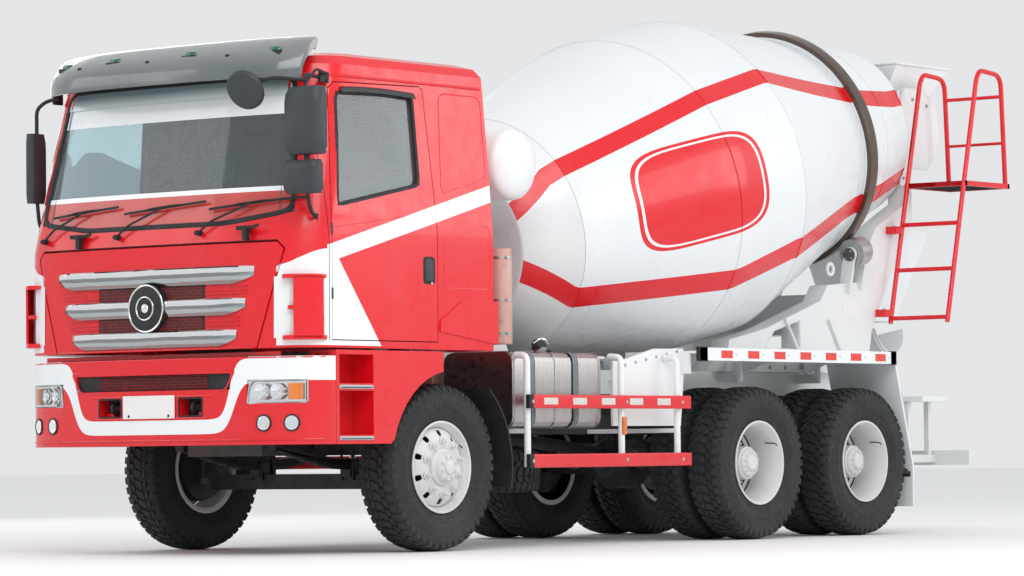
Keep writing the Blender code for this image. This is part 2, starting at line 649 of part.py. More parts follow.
dash = prism("X", [(-1.28, 1.90), (-1.28, 2.02), (-1.20, 2.05), (-0.98, 2.00), (-0.92, 1.90), (-0.98, 1.72),
                   (-1.20, 1.66), (-1.28, 1.72)], -1.03, 1.03)
union(dash, prism("X", [(-1.15, 1.70), (-1.05, 1.80), (-0.93, 1.62), (-1.03, 1.42 + FIT), (-1.15, 1.42 + FIT)], -0.66, -0.54))
COLUMN_TOP = Vector((-0.60, -0.86, 2.01))
COLUMN_DIR = Vector((0, 0.45, 0.80)).normalized()
union(dash, rod(Vector((-0.60, -1.06, 0)) + Vector((0, 0, COLUMN_TOP.z - 0.20 / 0.45 * 0.80)),
                COLUMN_TOP - COLUMN_DIR * FIT, 0.03, 12))
finish(dash, "dashboard", PLASTIC)

steering = lathe([(0, 0), (0, 0.05), (0.04, 0.04), (0.04, 0)], 16, along(COLUMN_TOP, COLUMN_DIR))
union(steering, lathe([(0.03, 0.205), (0.03, 0.235), (0.055, 0.235), (0.055, 0.205)], 24,
                      along(COLUMN_TOP, COLUMN_DIR)))
side_dir = Vector((1, 0, 0))
up_dir = COLUMN_DIR.cross(side_dir)
for angle in (90, 210, 330):
    out = side_dir * math.cos(math.radians(angle)) + up_dir * math.sin(math.radians(angle))
    union(steering, rod(COLUMN_TOP + COLUMN_DIR * 0.022 + out * 0.02, COLUMN_TOP + COLUMN_DIR * 0.042 + out * 0.22,
                        0.012, 8))
finish(steering, "steering_wheel", PLASTIC, COLUMN_TOP)


def seat(x):
    base = box(x - 0.20, x + 0.20, -0.50, -0.06, 1.34 + FIT, 1.62)
    union(base, box(x - 0.25, x + 0.25, -0.56, -0.04, 1.60, 1.76))
    back = prism("X", [(-0.16, 1.70), (-0.03, 1.70), (0.10, 2.42), (-0.01, 2.44)], x - 0.24, x + 0.24)
    rest = prism("X", [(-0.01, 2.40), (0.08, 2.40), (0.11, 2.64), (0.02, 2.66)], x - 0.14, x + 0.14)
    return union(base, back, rest)


finish(seat(-0.72), "driver_seat", SEAT)
finish(seat(0.72), "passenger_seat", SEAT)

# ---------------------------------------------------------------- bumper and steps
BUMPER_LOW = 0.69
BUMPER_TOP = 1.235
BUMPER_REAR = -1.150
BUMPER_PLAN = ((0.0, -1.500), (0.42, -1.494), (0.78, -1.464), (1.00, -1.415), (1.12, -1.365), (1.20, -1.300),
               (BODY_HALF, -1.215))


def bumper_solid(inset, low, high, back):
    side = [(x, y) for x, y in BUMPER_PLAN[1:]] + [(BODY_HALF, back)]
    loop = [(0.0, BUMPER_PLAN[0][1])] + side + [(-x, y) for x, y in reversed(side)]
    if inset:
        loop = [tuple(p) for p in inset_loop(loop, inset)]
    return prism("Z", loop, low, high)


bumper = bumper_solid(0, BUMPER_LOW, BUMPER_TOP, BUMPER_REAR)
cut(bumper, prism("Z", [(x, y) for x, y in ((-1.13, -1.10), (-1.05, -1.24), (-0.90, -1.33), (-0.70, -1.40),
                                         (0.70, -1.40), (0.90, -1.33), (1.05, -1.24), (1.13, -1.10))]
                  + [(1.13, -0.80), (-1.13, -0.80)], BUMPER_LOW - 0.1, BUMPER_TOP + 0.1))
for side in (-1, 1):
    lamp = prism("Z", [(side * 0.79, -1.60), (side * 1.17, -1.60), (side * 1.17, -1.27), (side * 0.79, -1.415)],
                 0.945, 1.09)
    cut(bumper, lamp)
    cut(bumper, box(*sorted((side * 0.25, side * 0.44)), -1.60, -1.30, 0.875, 0.985))
    union(bumper, box(*sorted((side * (RAIL_IN + 0.005), side * (RAIL_OUT - 0.005))), -1.44, RAIL_FRONT - FIT, 0.76, 0.90))
cut(bumper, box(-0.66, 0.66, -1.60, -1.455, 1.035, 1.135))
finish(bumper, "front_bumper", RED)


def step_tower(side):
    """Side panel with two step treads ahead of the front wheel; its rear edge is the wheel arch."""
    arch = []
    for k in range(9):
        angle = math.radians(163 - k * 8)
        arch.append((0.615 * math.cos(angle), HUB_Z + 0.615 * math.sin(angle)))
    arch = [(y, z) for y, z in arch if z < CAB_LOW - 0.02 and y < -0.02]
    last_y = arch[-1][0]
    front = BUMPER_REAR + 0.004
    outline = ([(front, BUMPER_LOW), (-0.625, BUMPER_LOW)] + arch
               + [(last_y, CAB_LOW - 0.012), (front, CAB_LOW - 0.012)])
    panel = prism("X", outline, *sorted((side * 1.02, side * BODY_HALF)))
    cut(panel, box(*sorted((side * 1.06, side * 1.40)), front + 0.03, -0.79, 0.745, 1.02))
    cut(panel, box(*sorted((side * 1.06, side * 1.40)), front + 0.03, -0.79, 1.065, 1.245))
    for z in (0.78, 0.98):
        union(panel, box(*sorted((side * (RAIL_OUT + FIT), side * 1.03)), -0.98, -0.93, z, z + 0.05))
    return panel


finish(step_tower(1), "step_left", RED)
finish(step_tower(-1), "step_right", RED)

# ---------------------------------------------------------------- tanks, guard, spare wheel
tank_outline = []
for cy, cz, start in ((1.04, 0.86, -90), (1.04, 1.22, 0), (0.60, 1.22, 90), (0.60, 0.86, 180)):
    for k in range(4):
        angle = math.radians(start + k * 30)
        tank_outline.append((cy + 0.07 * math.cos(angle), cz + 0.07 * math.sin(angle)))
fuel = prism("Y", tank_outline, 0.78, 1.74)
union(fuel, rod((0.98, 1.22, 1.27), (1.01, 1.22, 1.34), 0.045))
for y in (0.95, 1.50):
    union(fuel, box(RAIL_OUT + FIT, 0.62, y, y + 0.07, 0.80, 1.02))
finish(fuel, "fuel_tank", ALUMINIUM)

battery = box(-1.12, -0.55, 0.85, 1.55, 0.80, 1.20)
union(battery, rod((-0.85, 1.60, 0.95), (-0.85, 2.10, 0.95), 0.13))
union(battery, box(-0.87, -0.83, 1.50, 1.66, 0.88, 1.02))
for y in (0.95, 1.45):
    union(battery, box(-0.60, -RAIL_OUT - FIT, y, y + 0.07, 0.80, 1.02))
finish(battery, "battery_box", PLASTIC)


def side_guard(side):
    rail = box(*sorted((side * 1.215, side * BODY_HALF)), 0.79, 2.60, 0.915, 1.005)
    union(rail, box(*sorted((side * 1.215, side * BODY_HALF)), 0.79, 2.60, 0.525, 0.615))
    for y in (0.83, 1.86, 2.50):
        union(rail, bent([(side * 1.20, y, 0.53), (side * 1.20, y, 1.20), (side * 1.19, y, 1.235),
                          (side * 1.165, y, 1.255), (side * 1.13, y, 1.26)], 0.022))
    for y in (0.83, 2.50):
        union(rail, box(*sorted((side * (RAIL_OUT + FIT), side * 1.205)), y - 0.018, y + 0.018, 0.752, 0.782))
    return rail


finish(side_guard(1), "side_guard_left", WHITE)
finish(side_guard(-1), "side_guard_right", WHITE)

SPARE_Y = 1.62
SPARE_Z = 0.50
spare = lathe([(-0.10, BEAD_R), (-0.145, 0.42), (-0.128, 0.515), (-0.105, TYRE_R), (0.105, TYRE_R), (0.128, 0.515),
               (0.145, 0.42), (0.10, BEAD_R), (0.03, 0.24), (0.03, 0.0), (0.0, 0.0), (0.0, 0.24)], WHEEL_FACETS,
              Matrix.Translation((0, SPARE_Y, SPARE_Z)))
union(spare, box(-0.06, 0.06, SPARE_Y - 0.03, SPARE_Y + 0.03, SPARE_Z + 0.01, 0.74))
union(spare, box(-RAIL_IN - 0.03, RAIL_IN + 0.03, SPARE_Y - 0.04, SPARE_Y + 0.04, 0.71, RAIL_LOW - FIT))
finish(spare, "spare_wheel", RUBBER, smooth=True)

# ---------------------------------------------------------------- rear fenders and bumper


def rear_fender(side):
    deck = box(*sorted((side * 0.60, side * BODY_HALF)), 2.71, 5.19, 1.300, 1.318)
    union(deck, box(*sorted((side * 1.222, side * BODY_HALF)), 2.71, 5.19, 1.25, 1.34))
    union(deck, prism("X", [(5.17, 1.31), (5.19, 1.31), (5.43, 0.50), (5.42, 0.20), (5.405, 0.20), (5.41, 0.50)],
                      *sorted((side * 0.63, side * 1.235))))
    union(deck, prism("X", [(2.00, 1.24), (2.40, 1.33), (2.74, 1.335), (2.74, 1.15), (2.70, 0.80), (1.92, 0.80),
                            (1.92, 1.24)], *sorted((side * 1.06, side * 1.08))))
    union(deck, box(*sorted((side * 0.60, side * 1.15)), 2.71, 2.73, 1.16, 1.31))
    for y in (2.74, 4.06, 5.06):
        union(deck, box(*sorted((side * (RAIL_OUT + FIT), side * 0.615)), y, y + 0.06, 1.12, 1.19))
        union(deck, box(*sorted((side * 0.595, side * 0.625)), y + 0.01, y + 0.05, 1.13, 1.31))
    return deck


finish(rear_fender(1), "rear_fender_left", WHITE)
finish(rear_fender(-1), "rear_fender_right", WHITE)

under = box(-1.20, 1.20, 6.25, 6.33, 0.50, 0.61)
for side in (-1, 1):
    x0, x1 = sorted((side * RAIL_IN, side * RAIL_OUT))
    union(under, box(x0, x1, 6.15 + FIT, 6.30, 0.54, 0.98))
step_plate = box(0.72, 1.04, 5.86, 6.22, 0.98, 1.02)
for y in (5.88, 6.16):
    union(step_plate, prism("X", [(y, 0.52), (y + 0.04, 0.52), (y + 0.04, 1.0), (y, 1.0)], 0.86, 0.90))
union(step_plate, box(0.855, 0.905, 5.88, 6.27, 0.52, 0.58))
union(under, step_plate)
finish(under, "rear_bumper", WHITE)

# ---------------------------------------------------------------- drum, its drive and its supports
COS, SIN = math.cos(DRUM_TILT), math.sin(DRUM_TILT)
DRUM_AXIS = Vector((0, COS, SIN))
DRUM_DOWN = Vector((0, SIN, -COS))
DRUM_HEAD = Vector((0, DRUM_Y, DRUM_Z))


def drum_point(s, sideways=0.0, down=0.0):
    return DRUM_HEAD + DRUM_AXIS * s + Vector((sideways, 0, 0)) + DRUM_DOWN * down


outer = list(zip(DRUM_STATIONS, DRUM_RADII))
slope = (DRUM_RADII[4] - DRUM_RADII[3]) / (DRUM_STATIONS[4] - DRUM_STATIONS[3])
before_ring = (RING_S - RING_W / 2, DRUM_RADII[4] - slope * RING_W / 2)
slope_2 = (DRUM_RADII[5] - DRUM_RADII[4]) / (DRUM_STATIONS[5] - DRUM_STATIONS[4])
after_ring = (RING_S + RING_W / 2, DRUM_RADII[4] + slope_2 * RING_W / 2)
inner = [(s, r - DRUM_WALL) for s, r in outer[1:]]
inner[-1] = (DRUM_STATIONS[-1], DRUM_RADII[-1] - DRUM_WALL)
profile = [(-0.10, 0), (-0.10, 0.17), (-0.02, 0.17), (0.0, DRUM_RADII[0])] + outer[1:4]
profile += [before_ring, (RING_S - RING_W / 2, RING_R), (RING_S + RING_W / 2, RING_R), after_ring, outer[5]]
profile += inner[::-1] + [(DRUM_WALL * 1.5, DRUM_RADII[0] - DRUM_WALL), (DRUM_WALL, 0.0)]
drum = lathe(profile, 48, along(DRUM_HEAD, DRUM_AXIS))
finish(drum, "mixing_drum", WHITE, DRUM_HEAD, smooth=True)

gear = lathe([(-0.60, 0), (-0.60, 0.12), (-0.46, GEAR_R), (-0.20, GEAR_R), (-0.10 - FIT, 0.13), (-0.10 - FIT, 0)],
             24, along(DRUM_HEAD, DRUM_AXIS))
GEAR_SEAT = 1.64
union(gear, box(-0.18, 0.18, 1.12, 1.40, GEAR_SEAT + FIT, 1.90))
finish(gear, "drum_gearbox", CAST)

pedestal = box(-0.42, 0.42, 1.06, 1.44, GEAR_SEAT - 0.12, GEAR_SEAT)
for side in (-1, 1):
    leg = prism("X", [(0.92, SUB_TOP + FIT), (1.66, SUB_TOP + FIT), (1.50, 1.60), (1.30, 1.66), (1.14, 2.26),
                      (0.94, 2.26), (0.90, 1.70)], *sorted((side * 0.36, side * 0.42)))
    union(pedestal, leg)
saddle = box(-0.62, 0.62, 0.92, 1.16, 2.24, 2.36)
cut(saddle, rod((-0.8, TANK_Y, TANK_Z), (0.8, TANK_Y, TANK_Z), TANK_R + FIT, 32))
union(pedestal, saddle)
finish(pedestal, "front_pedestal", WHITE)

water = lathe([(-TANK_HALF - 0.06, 0), (-TANK_HALF - 0.045, 0.14), (-TANK_HALF, TANK_R), (TANK_HALF, TANK_R),
               (TANK_HALF + 0.045, 0.14), (TANK_HALF + 0.06, 0)], 32, along((0, TANK_Y, TANK_Z), (1, 0, 0)))
finish(water, "water_tank", WHITE, smooth=True)

STACK_Y = 0.83
stack = box(RAIL_IN, RAIL_OUT, STACK_Y - 0.05, STACK_Y + 0.05, RAIL_TOP + FIT, 1.42)
union(stack, box(RAIL_IN, 0.98, STACK_Y - 0.03, STACK_Y + 0.03, 1.36, 1.42))
union(stack, rod((0.98, STACK_Y, 1.34), (0.98, STACK_Y, 1.97), 0.075))
finish(stack, "exhaust_stack", RUST, smooth=True)

ROLLER_DOWN = (RING_R + ROLLER_R + FIT) * math.cos(ROLLER_ANGLE)
ROLLER_SIDE = (RING_R + ROLLER_R + FIT) * math.sin(ROLLER_ANGLE)


def roller(side):
    centre = drum_point(RING_S, side * ROLLER_SIDE, ROLLER_DOWN)
    half = ROLLER_L / 2
    body = lathe([(-half, 0.03 + PIN), (-half, ROLLER_R), (half, ROLLER_R), (half, 0.03 + PIN)], 24,
                 along(centre, DRUM_AXIS))
    return body, centre


rear = None
for side in (-1, 1):
    body, centre = roller(side)
    finish(body, f"roller_{'left' if side > 0 else 'right'}", STEEL, centre, smooth=True)
PED_OUT = 0.56
plates = []
for side in (-1, 1):
    plate = prism("X", [(3.98, SUB_TOP + FIT), (4.03, 1.43), (4.50, 1.52), (5.22, 1.74), (5.32, 1.86), (5.80, 1.90),
                        (5.90, 2.20), (5.98, 2.31), (6.16, 2.40), (6.41, 2.52), (6.41, 2.66), (6.50, 2.66),
                        (6.50, 2.36), (6.20, 1.98), (5.92, 1.55), (5.84, SUB_TOP + FIT)],
                  *sorted((side * (PED_OUT - 0.16), side * PED_OUT)))
    plates.append(plate)
rear = plates[0]
union(rear, plates[1])
union(rear, box(-0.45, 0.45, 4.00, 4.08, SUB_TOP + FIT, 1.36))
union(rear, box(-0.45, 0.45, 5.45, 5.75, 1.50, 1.80))
for side in (-1, 1):
    cut(rear, prism("X", [(4.48, 1.375), (4.93, 1.375), (4.93, 1.58), (4.60, 1.50)],
                    *sorted((side * 0.30, side * 0.70))))
    centre = drum_point(RING_S, side * ROLLER_SIDE, ROLLER_DOWN)
    for s in (-1, 1):
        near = centre + DRUM_AXIS * s * (ROLLER_L / 2 + 0.006)
        far = centre + DRUM_AXIS * s * (ROLLER_L / 2 + 0.036)
        cheek = rod(near, far, 0.055, 12)
        foot = [near + Vector((0.05, 0, 0)), near - Vector((0.05, 0, 0)), far + Vector((0.05, 0, 0)),
                far - Vector((0.05, 0, 0))]
        drop = 0.30
        verts = [p + Vector((-side * 0.0, 0, 0)) for p in foot]
        verts += [p + DRUM_DOWN * drop - Vector((side * 0.10, 0, 0)) for p in foot]
        leg = turn_out(solid(verts, [(0, 1, 3, 2), (4, 6, 7, 5), (0, 4, 5, 1), (2, 3, 7, 6), (0, 2, 6, 4),
                                     (1, 5, 7, 3)]))
        union(rear, cheek, leg)
    union(rear, rod(centre - DRUM_AXIS * (ROLLER_L / 2 + 0.03), centre + DRUM_AXIS * (ROLLER_L / 2 + 0.03), 0.03, 12))
finish(rear, "rear_pedestal", WHITE)

# ---------------------------------------------------------------- hoppers and ladder


def funnel(top, bottom, wall):
    """A four-sided funnel open at both ends; top and bottom are (x half, y0, y1, z)."""
    def shape(grow, stretch):
        (tx, ty0, ty1, tz), (bx, by0, by1, bz) = top, bottom
        verts = [(-tx + grow, ty0 + grow, tz + stretch), (tx - grow, ty0 + grow, tz + stretch),
                 (tx - grow, ty1 - grow, tz + stretch), (-tx + grow, ty1 - grow, tz + stretch),
                 (-bx + grow, by0 + grow, bz - stretch), (bx - grow, by0 + grow, bz - stretch),
                 (bx - grow, by1 - grow, bz - stretch), (-bx + grow, by1 - grow, bz - stretch)]
        faces = [(0, 1, 2, 3), (7, 6, 5, 4), (0, 4, 5, 1), (1, 5, 6, 2), (2, 6, 7, 3), (3, 7, 4, 0)]
        return turn_out(solid(verts, faces))
    return cut(shape(0, 0), shape(wall, 0.002))


charge = funnel((0.50, 6.42, 7.16, 3.62), (0.30, 6.33, 6.78, 3.08), 0.012)
for side in (-1, 1):
    x0, x1 = sorted((side * 0.49, side * 0.515))
    blade = prism("X", [(6.38, 2.80), (6.80, 2.80), (6.95, 2.95), (6.98, 3.10), (6.95, 3.30), (6.75, 3.42),
                        (6.50, 3.42), (6.38, 3.20)], x0, x1)
    union(charge, blade)
    union(charge, box(x0, x1, 6.415, 6.495, 2.66 + FIT, 2.90))
union(charge, box(-0.51, 0.51, 6.40, 6.43, 3.30, 3.40))
union(charge, box(-0.51, 0.51, 6.86, 6.89, 3.28, 3.34))
finish(charge, "charge_hopper", WHITE)

DISC_LOW = 1.62
spill = funnel((0.38, 6.32, 7.02, 2.33), (0.20, 6.44, 6.80, DISC_LOW), 0.010)
for side in (-1, 1):
    union(spill, box(*sorted((side * 0.352, side * (PED_OUT - 0.16 - FIT))), 6.34, 6.42, 2.26, 2.325))
finish(spill, "discharge_hopper", WHITE)

LADDER_IN = 0.64
LADDER_OUT = 1.15
ladder = None
lean = 0.251


def lean_y(z):
    return 6.06 + (z - 1.63) * lean


for x in (LADDER_IN, LADDER_OUT):
    hoop = bent([(x, lean_y(1.60), 1.60), (x, lean_y(3.42), 3.42), (x, lean_y(3.48) + 0.02, 3.49),
                 (x, 6.58, 3.52), (x, 6.84, 3.50), (x, 6.88, 3.44), (x, 6.92, 2.62)], 0.019)
    ladder = hoop if ladder is None else union(ladder, hoop)
for z in (1.62, 1.99, 2.34):
    union(ladder, rod((LADDER_IN - 0.01, lean_y(z), z), (LADDER_OUT + 0.01, lean_y(z), z), 0.017, 8))
union(ladder, rod((LADDER_IN, 6.885, 3.34), (LADDER_OUT, 6.885, 3.34), 0.014, 8))
union(ladder, box(LADDER_IN - 0.02, LADDER_OUT + 0.02, lean_y(2.64) - 0.02, 6.95, 2.625, 2.665))
for y, z in ((lean_y(1.66), 1.66), (lean_y(2.30), 2.30)):
    union(ladder, box(PED_OUT + FIT, LADDER_IN + 0.01, y - 0.10, y + 0.01, z - 0.03, z + 0.03))
finish(ladder, "access_ladder", RED)

# ---------------------------------------------------------------- discharge chute
CHUTE_PIN_Z = 1.25
CHUTE_PIN_R = 0.014
post = rod((0, SWING_Y, 1.03 + FIT), (0, SWING_Y, 1.18), 0.055)
cut(post, rod((0, SWING_Y, 1.00), (0, SWING_Y, 1.145), bore(0.03)))
union(post, box(-0.06, 0.06, SWING_Y - 0.065, SWING_Y + 0.065, 1.16, 1.19))
for side in (-1, 1):
    union(post, box(-0.028, 0.028, *sorted((SWING_Y + side * 0.036, SWING_Y + side * 0.06)), 1.18, 1.275))
union(post, rod((0, SWING_Y - 0.05, CHUTE_PIN_Z), (0, SWING_Y + 0.05, CHUTE_PIN_Z), CHUTE_PIN_R))
finish(post, "chute_post", BLACK, (0, SWING_Y, 1.06))


def trough(start, end, radius, wall, lip=0.0):
    """An open half-round channel from start to end."""
    start, end = Vector(start), Vector(end)
    heading = (end - start).normalized()
    across = heading.cross(Vector((0, 0, 1))).normalized()
    up = across.cross(heading)
    loop = []
    for k in range(9):
        angle = math.pi + math.pi * k / 8
        loop.append((radius * math.cos(angle), radius * math.sin(angle)))
    for k in range(9):
        angle = 2 * math.pi - math.pi * k / 8
        loop.append(((radius - wall) * math.cos(angle), (radius - wall) * math.sin(angle)))
    verts = []
    for point in (start, end):
        verts += [point + across * u + up * v for u, v in loop]
    n = len(loop)
    faces = [(i, (i + 1) % n, n + (i + 1) % n, n + i) for i in range(n)]
    for k in range(8):
        faces.append((k, n - 1 - k, n - 2 - k, k + 1))
        faces.append((n + k, n + k + 1, 2 * n - 2 - k, 2 * n - 1 - k))
    return turn_out(solid(verts, faces))


CHUTE_IN = Vector((0.26, SWING_Y, 1.56))
CHUTE_OUT = Vector((-1.06, SWING_Y, 1.32))
chute = trough(CHUTE_IN, CHUTE_OUT, CHUTE_TROUGH_R, 0.008)
union(chute, box(-0.03, 0.03, SWING_Y - 0.03, SWING_Y + 0.03, CHUTE_PIN_Z - 0.03, 1.314))
cut(chute, rod((0, SWING_Y - 0.1, CHUTE_PIN_Z), (0, SWING_Y + 0.1, CHUTE_PIN_Z), CHUTE_PIN_R + PIN))
finish(chute, "main_chute", WHITE, (0, SWING_Y, CHUTE_PIN_Z))

# ---------------------------------------------------------------- centre the truck
LENGTH_SHIFT = -2.74
SIDE_SHIFT = -0.0775          # the left mirror reaches 155 mm further out than the folded right one
for made in bpy.context.scene.objects:
    made.location.y += LENGTH_SHIFT
    made.location.x += SIDE_SHIFT
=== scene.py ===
"""The looks of a concrete mixer truck, built round its solid parts."""
import math
import bmesh
import bpy
from mathutils import Matrix, Vector


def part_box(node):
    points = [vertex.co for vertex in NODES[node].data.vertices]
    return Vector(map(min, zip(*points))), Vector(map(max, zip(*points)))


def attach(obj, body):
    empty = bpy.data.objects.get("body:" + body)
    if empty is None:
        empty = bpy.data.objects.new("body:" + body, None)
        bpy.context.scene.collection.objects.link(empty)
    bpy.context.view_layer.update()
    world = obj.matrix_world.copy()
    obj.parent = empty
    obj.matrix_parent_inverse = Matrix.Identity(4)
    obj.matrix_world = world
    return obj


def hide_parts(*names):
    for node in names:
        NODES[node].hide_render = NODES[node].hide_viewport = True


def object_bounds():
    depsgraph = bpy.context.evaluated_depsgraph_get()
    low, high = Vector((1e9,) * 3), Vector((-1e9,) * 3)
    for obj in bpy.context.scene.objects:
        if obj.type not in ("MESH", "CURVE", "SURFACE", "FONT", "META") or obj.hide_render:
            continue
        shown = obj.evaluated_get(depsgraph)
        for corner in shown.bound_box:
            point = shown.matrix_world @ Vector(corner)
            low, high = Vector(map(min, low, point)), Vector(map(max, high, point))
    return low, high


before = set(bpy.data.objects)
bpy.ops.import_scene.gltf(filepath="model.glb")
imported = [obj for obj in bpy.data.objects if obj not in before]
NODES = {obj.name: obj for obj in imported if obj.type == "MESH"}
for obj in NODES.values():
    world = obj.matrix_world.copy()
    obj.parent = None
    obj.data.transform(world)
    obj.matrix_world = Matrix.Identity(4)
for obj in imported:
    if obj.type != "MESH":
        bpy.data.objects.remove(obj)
size_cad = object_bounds()
LO = size_cad[0]
pi, sin, cos, rad = math.pi, math.sin, math.cos, math.radians


def middle(node):
    low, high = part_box(node)
    return (low + high) / 2


# Every x below is measured from the truck's centreline and every y rearwards from the front axle.
HOME = Vector((middle("front_axle").x, middle("tyre_front_left").y, 0))
WHEEL_R = middle("tyre_front_left").z - LO.z
HUB_Z = WHEEL_R + LO.z
FRONT_X = middle("tyre_front_left").x - HOME.x
DRUM_TILT, DRUM_HEAD, TRACK_S = rad(12.5), Vector((0, 1.615, 2.06)), 3.907
DRUM_AXIS, DRUM_UP = Vector((0, cos(DRUM_TILT), sin(DRUM_TILT))), Vector((0, -sin(DRUM_TILT), cos(DRUM_TILT)))
REAR_YS = {w: middle(f"tyre_{w}_left").y - HOME.y for w in ("mid", "rear")}


# ---------------------------------------------------------------- materials

class Value:
    """A number in a node tree; arithmetic on it adds Math nodes."""

    def __init__(self, tree, socket):
        self.tree, self.socket, self.node, self.join = tree, socket, tree.nodes.new, tree.links.new

    def math(self, op, *others):
        node = self.node("ShaderNodeMath")
        node.operation = op
        for i, v in enumerate((self, *others)):
            if isinstance(v, Value):
                self.join(v.socket, node.inputs[i])
            else:
                node.inputs[i].default_value = v
        return Value(self.tree, node.outputs[0])

    def __add__(self, o): return self.math("ADD", o)
    def __sub__(self, o): return self.math("SUBTRACT", o)
    def __mul__(self, o): return self.math("MULTIPLY", o)
    def __truediv__(self, o): return self.math("DIVIDE", o)
    __radd__, __rmul__ = __add__, __mul__
    def __neg__(self): return self * -1.0
    def __rsub__(self, o): return -self + o
    def __abs__(self): return self.math("ABSOLUTE")
    def over(self, o): return self.math("GREATER_THAN", o)
    def under(self, o): return self.math("LESS_THAN", o)
    def between(self, low, high): return (self - low).over(0.0) * (self - high).under(0.0)
    def near(self, a, b): return abs(self - a).under(b)
    def either(self, o): return self.math("MAXIMUM", o)
    def ramp(self, a, b, to0=0.0, to1=1.0):
        node = self.node("ShaderNodeMapRange")
        self.join(self.socket, node.inputs[0])
        for i, v in enumerate((a, b, to0, to1)):
            node.inputs[i + 1].default_value = v
        return Value(self.tree, node.outputs[0])


class Look:
    """A procedural material: base colour, layers of paint or dirt over it, uneven gloss and bump."""

    def __init__(self, name, colour, rough, metal=0.0, edge=0.004, **constants):
        self.made = bpy.data.materials.new("look_" + name)
        self.made.use_nodes = True
        self.tree = self.made.node_tree
        self.node, self.join = self.tree.nodes.new, self.tree.links.new
        self.shader = self.tree.nodes["Principled BSDF"]
        self.made.diffuse_color = (*colour, 1)
        self.made.roughness, self.made.metallic = rough, metal
        self.place = self.node("ShaderNodeTexCoord").outputs["Object"]
        split = self.node("ShaderNodeSeparateXYZ")
        self.join(self.place, split.inputs[0])
        x, y, self.z = (Value(self.tree, split.outputs[i]) for i in range(3))
        self.x, self.y = x - HOME.x, y - HOME.y
        self.shader.inputs["Metallic"].default_value = metal
        for key, v in constants.items():
            self.shader.inputs[key.replace("_", " ")].default_value = v
        self.colour, self.normal = colour, None
        self.shader.inputs["Base Color"].default_value = (*colour, 1)
        self.shader.inputs["Roughness"].default_value = rough
        if edge:
            bevel = self.node("ShaderNodeBevel")
            bevel.samples = 4
            bevel.inputs["Radius"].default_value = edge
            self.normal = bevel.outputs[0]
            self.join(self.normal, self.shader.inputs["Normal"])

    def stretched(self, stretch):
        if not stretch:
            return self.place
        node = self.node("ShaderNodeMapping")
        node.inputs["Scale"].default_value = stretch
        self.join(self.place, node.inputs["Vector"])
        return node.outputs[0]

    def noise(self, scale, detail=3.0, roughness=0.55, stretch=None):
        node = self.node("ShaderNodeTexNoise")
        node.inputs["Scale"].default_value = scale
        node.inputs["Detail"].default_value = detail
        node.inputs["Roughness"].default_value = roughness
        self.join(self.stretched(stretch), node.inputs["Vector"])
        return Value(self.tree, node.outputs["Fac"])

    def cells(self, scale, feature="F1", stretch=None):
        node = self.node("ShaderNodeTexVoronoi")
        node.feature = feature
        node.inputs["Scale"].default_value = scale
        self.join(self.stretched(stretch), node.inputs["Vector"])
        return Value(self.tree, node.outputs["Distance"])

    def over(self, mask, colour):
        """Paints colour where mask is 1."""
        node = self.node("ShaderNodeMix")
        node.data_type = "RGBA"
        if isinstance(mask, Value):
            self.join(mask.socket, node.inputs[0])
        else:
            node.inputs[0].default_value = mask
        if isinstance(self.colour, tuple):
            node.inputs[6].default_value = (*self.colour, 1)
        else:
            self.join(self.colour, node.inputs[6])
        node.inputs[7].default_value = (*colour, 1)
        self.colour = node.outputs[2]
        self.join(self.colour, self.shader.inputs["Base Color"])
        return self

    def gloss(self, value):
        self.join(value.socket, self.shader.inputs["Roughness"])
        return self

    def bump(self, value, strength, depth):
        node = self.node("ShaderNodeBump")
        node.inputs["Strength"].default_value = strength
        node.inputs["Distance"].default_value = depth
        self.join(value.socket, node.inputs["Height"])
        if self.normal:
            self.join(self.normal, node.inputs["Normal"])
        self.normal = node.outputs[0]
        self.join(self.normal, self.shader.inputs["Normal"])
        return self

    def dusty(self, low=0.35, high=1.15, amount=0.35, colour=(0.33, 0.3, 0.27)):
        """Road dust that thins upwards."""
        cloud = self.noise(2.4, 3.0).ramp(0.35, 0.75)
        return self.over(self.z.ramp(high, low) * cloud * amount, colour)


def enamel(name, colour, rough=0.28, stripes=None, dust=0.12, grime=(0.3, 0.27, 0.25), shade=0.84):
    """Sprayed truck enamel under a clear coat: faint orange peel, uneven gloss, thin dirt."""
    look = Look(name, colour, rough, Coat_Weight=0.22, Coat_Roughness=0.06)
    look.over(look.noise(0.9, 3.0).ramp(0.42, 0.72) * 0.22, tuple(c * shade for c in colour))
    if stripes:
        stripes(look)
    look.over(look.noise(2.2, 3.0, 0.55, (1, 1, 0.4)).ramp(0.55, 0.85) * 0.08, grime)
    look.dusty(amount=dust)
    look.gloss(look.noise(9.0, 3.0).ramp(0.3, 0.75, rough - 0.06, rough + 0.1))
    look.bump(look.noise(160.0, 1.0), 0.03, 0.0004)
    return look


RED_C, WHITE_C = (0.74, 0.004, 0.012), (0.84, 0.87, 0.88)


def cab_stripes(k):
    """White band rising along the side, white wedge and white front corner under it, red field between."""
    side = abs(k.x).over(1.0)
    rise = k.y * 0.268 + 2.208
    band = (k.z - (rise - 0.075)).over(0.0) * (k.z - (rise + 0.035)).under(0.0) * k.y.over(-1.21)
    left_of = (k.y + 1.1).under((k.z * -1.0 + 1.83) * 0.76)
    wedge = (k.z - (rise - 0.03)).under(0.0) * left_of * k.z.over(1.3) * k.y.over(-1.215)
    reach = (k.y + 1.47) / 0.26
    corner = k.y.under(-1.19) * (k.z - (1.895 - (1.0 - reach) * (1.0 - reach) * 0.17)).under(0.0) * k.z.over(1.3)
    k.over(side * (band.either(wedge).either(corner)), WHITE_C)


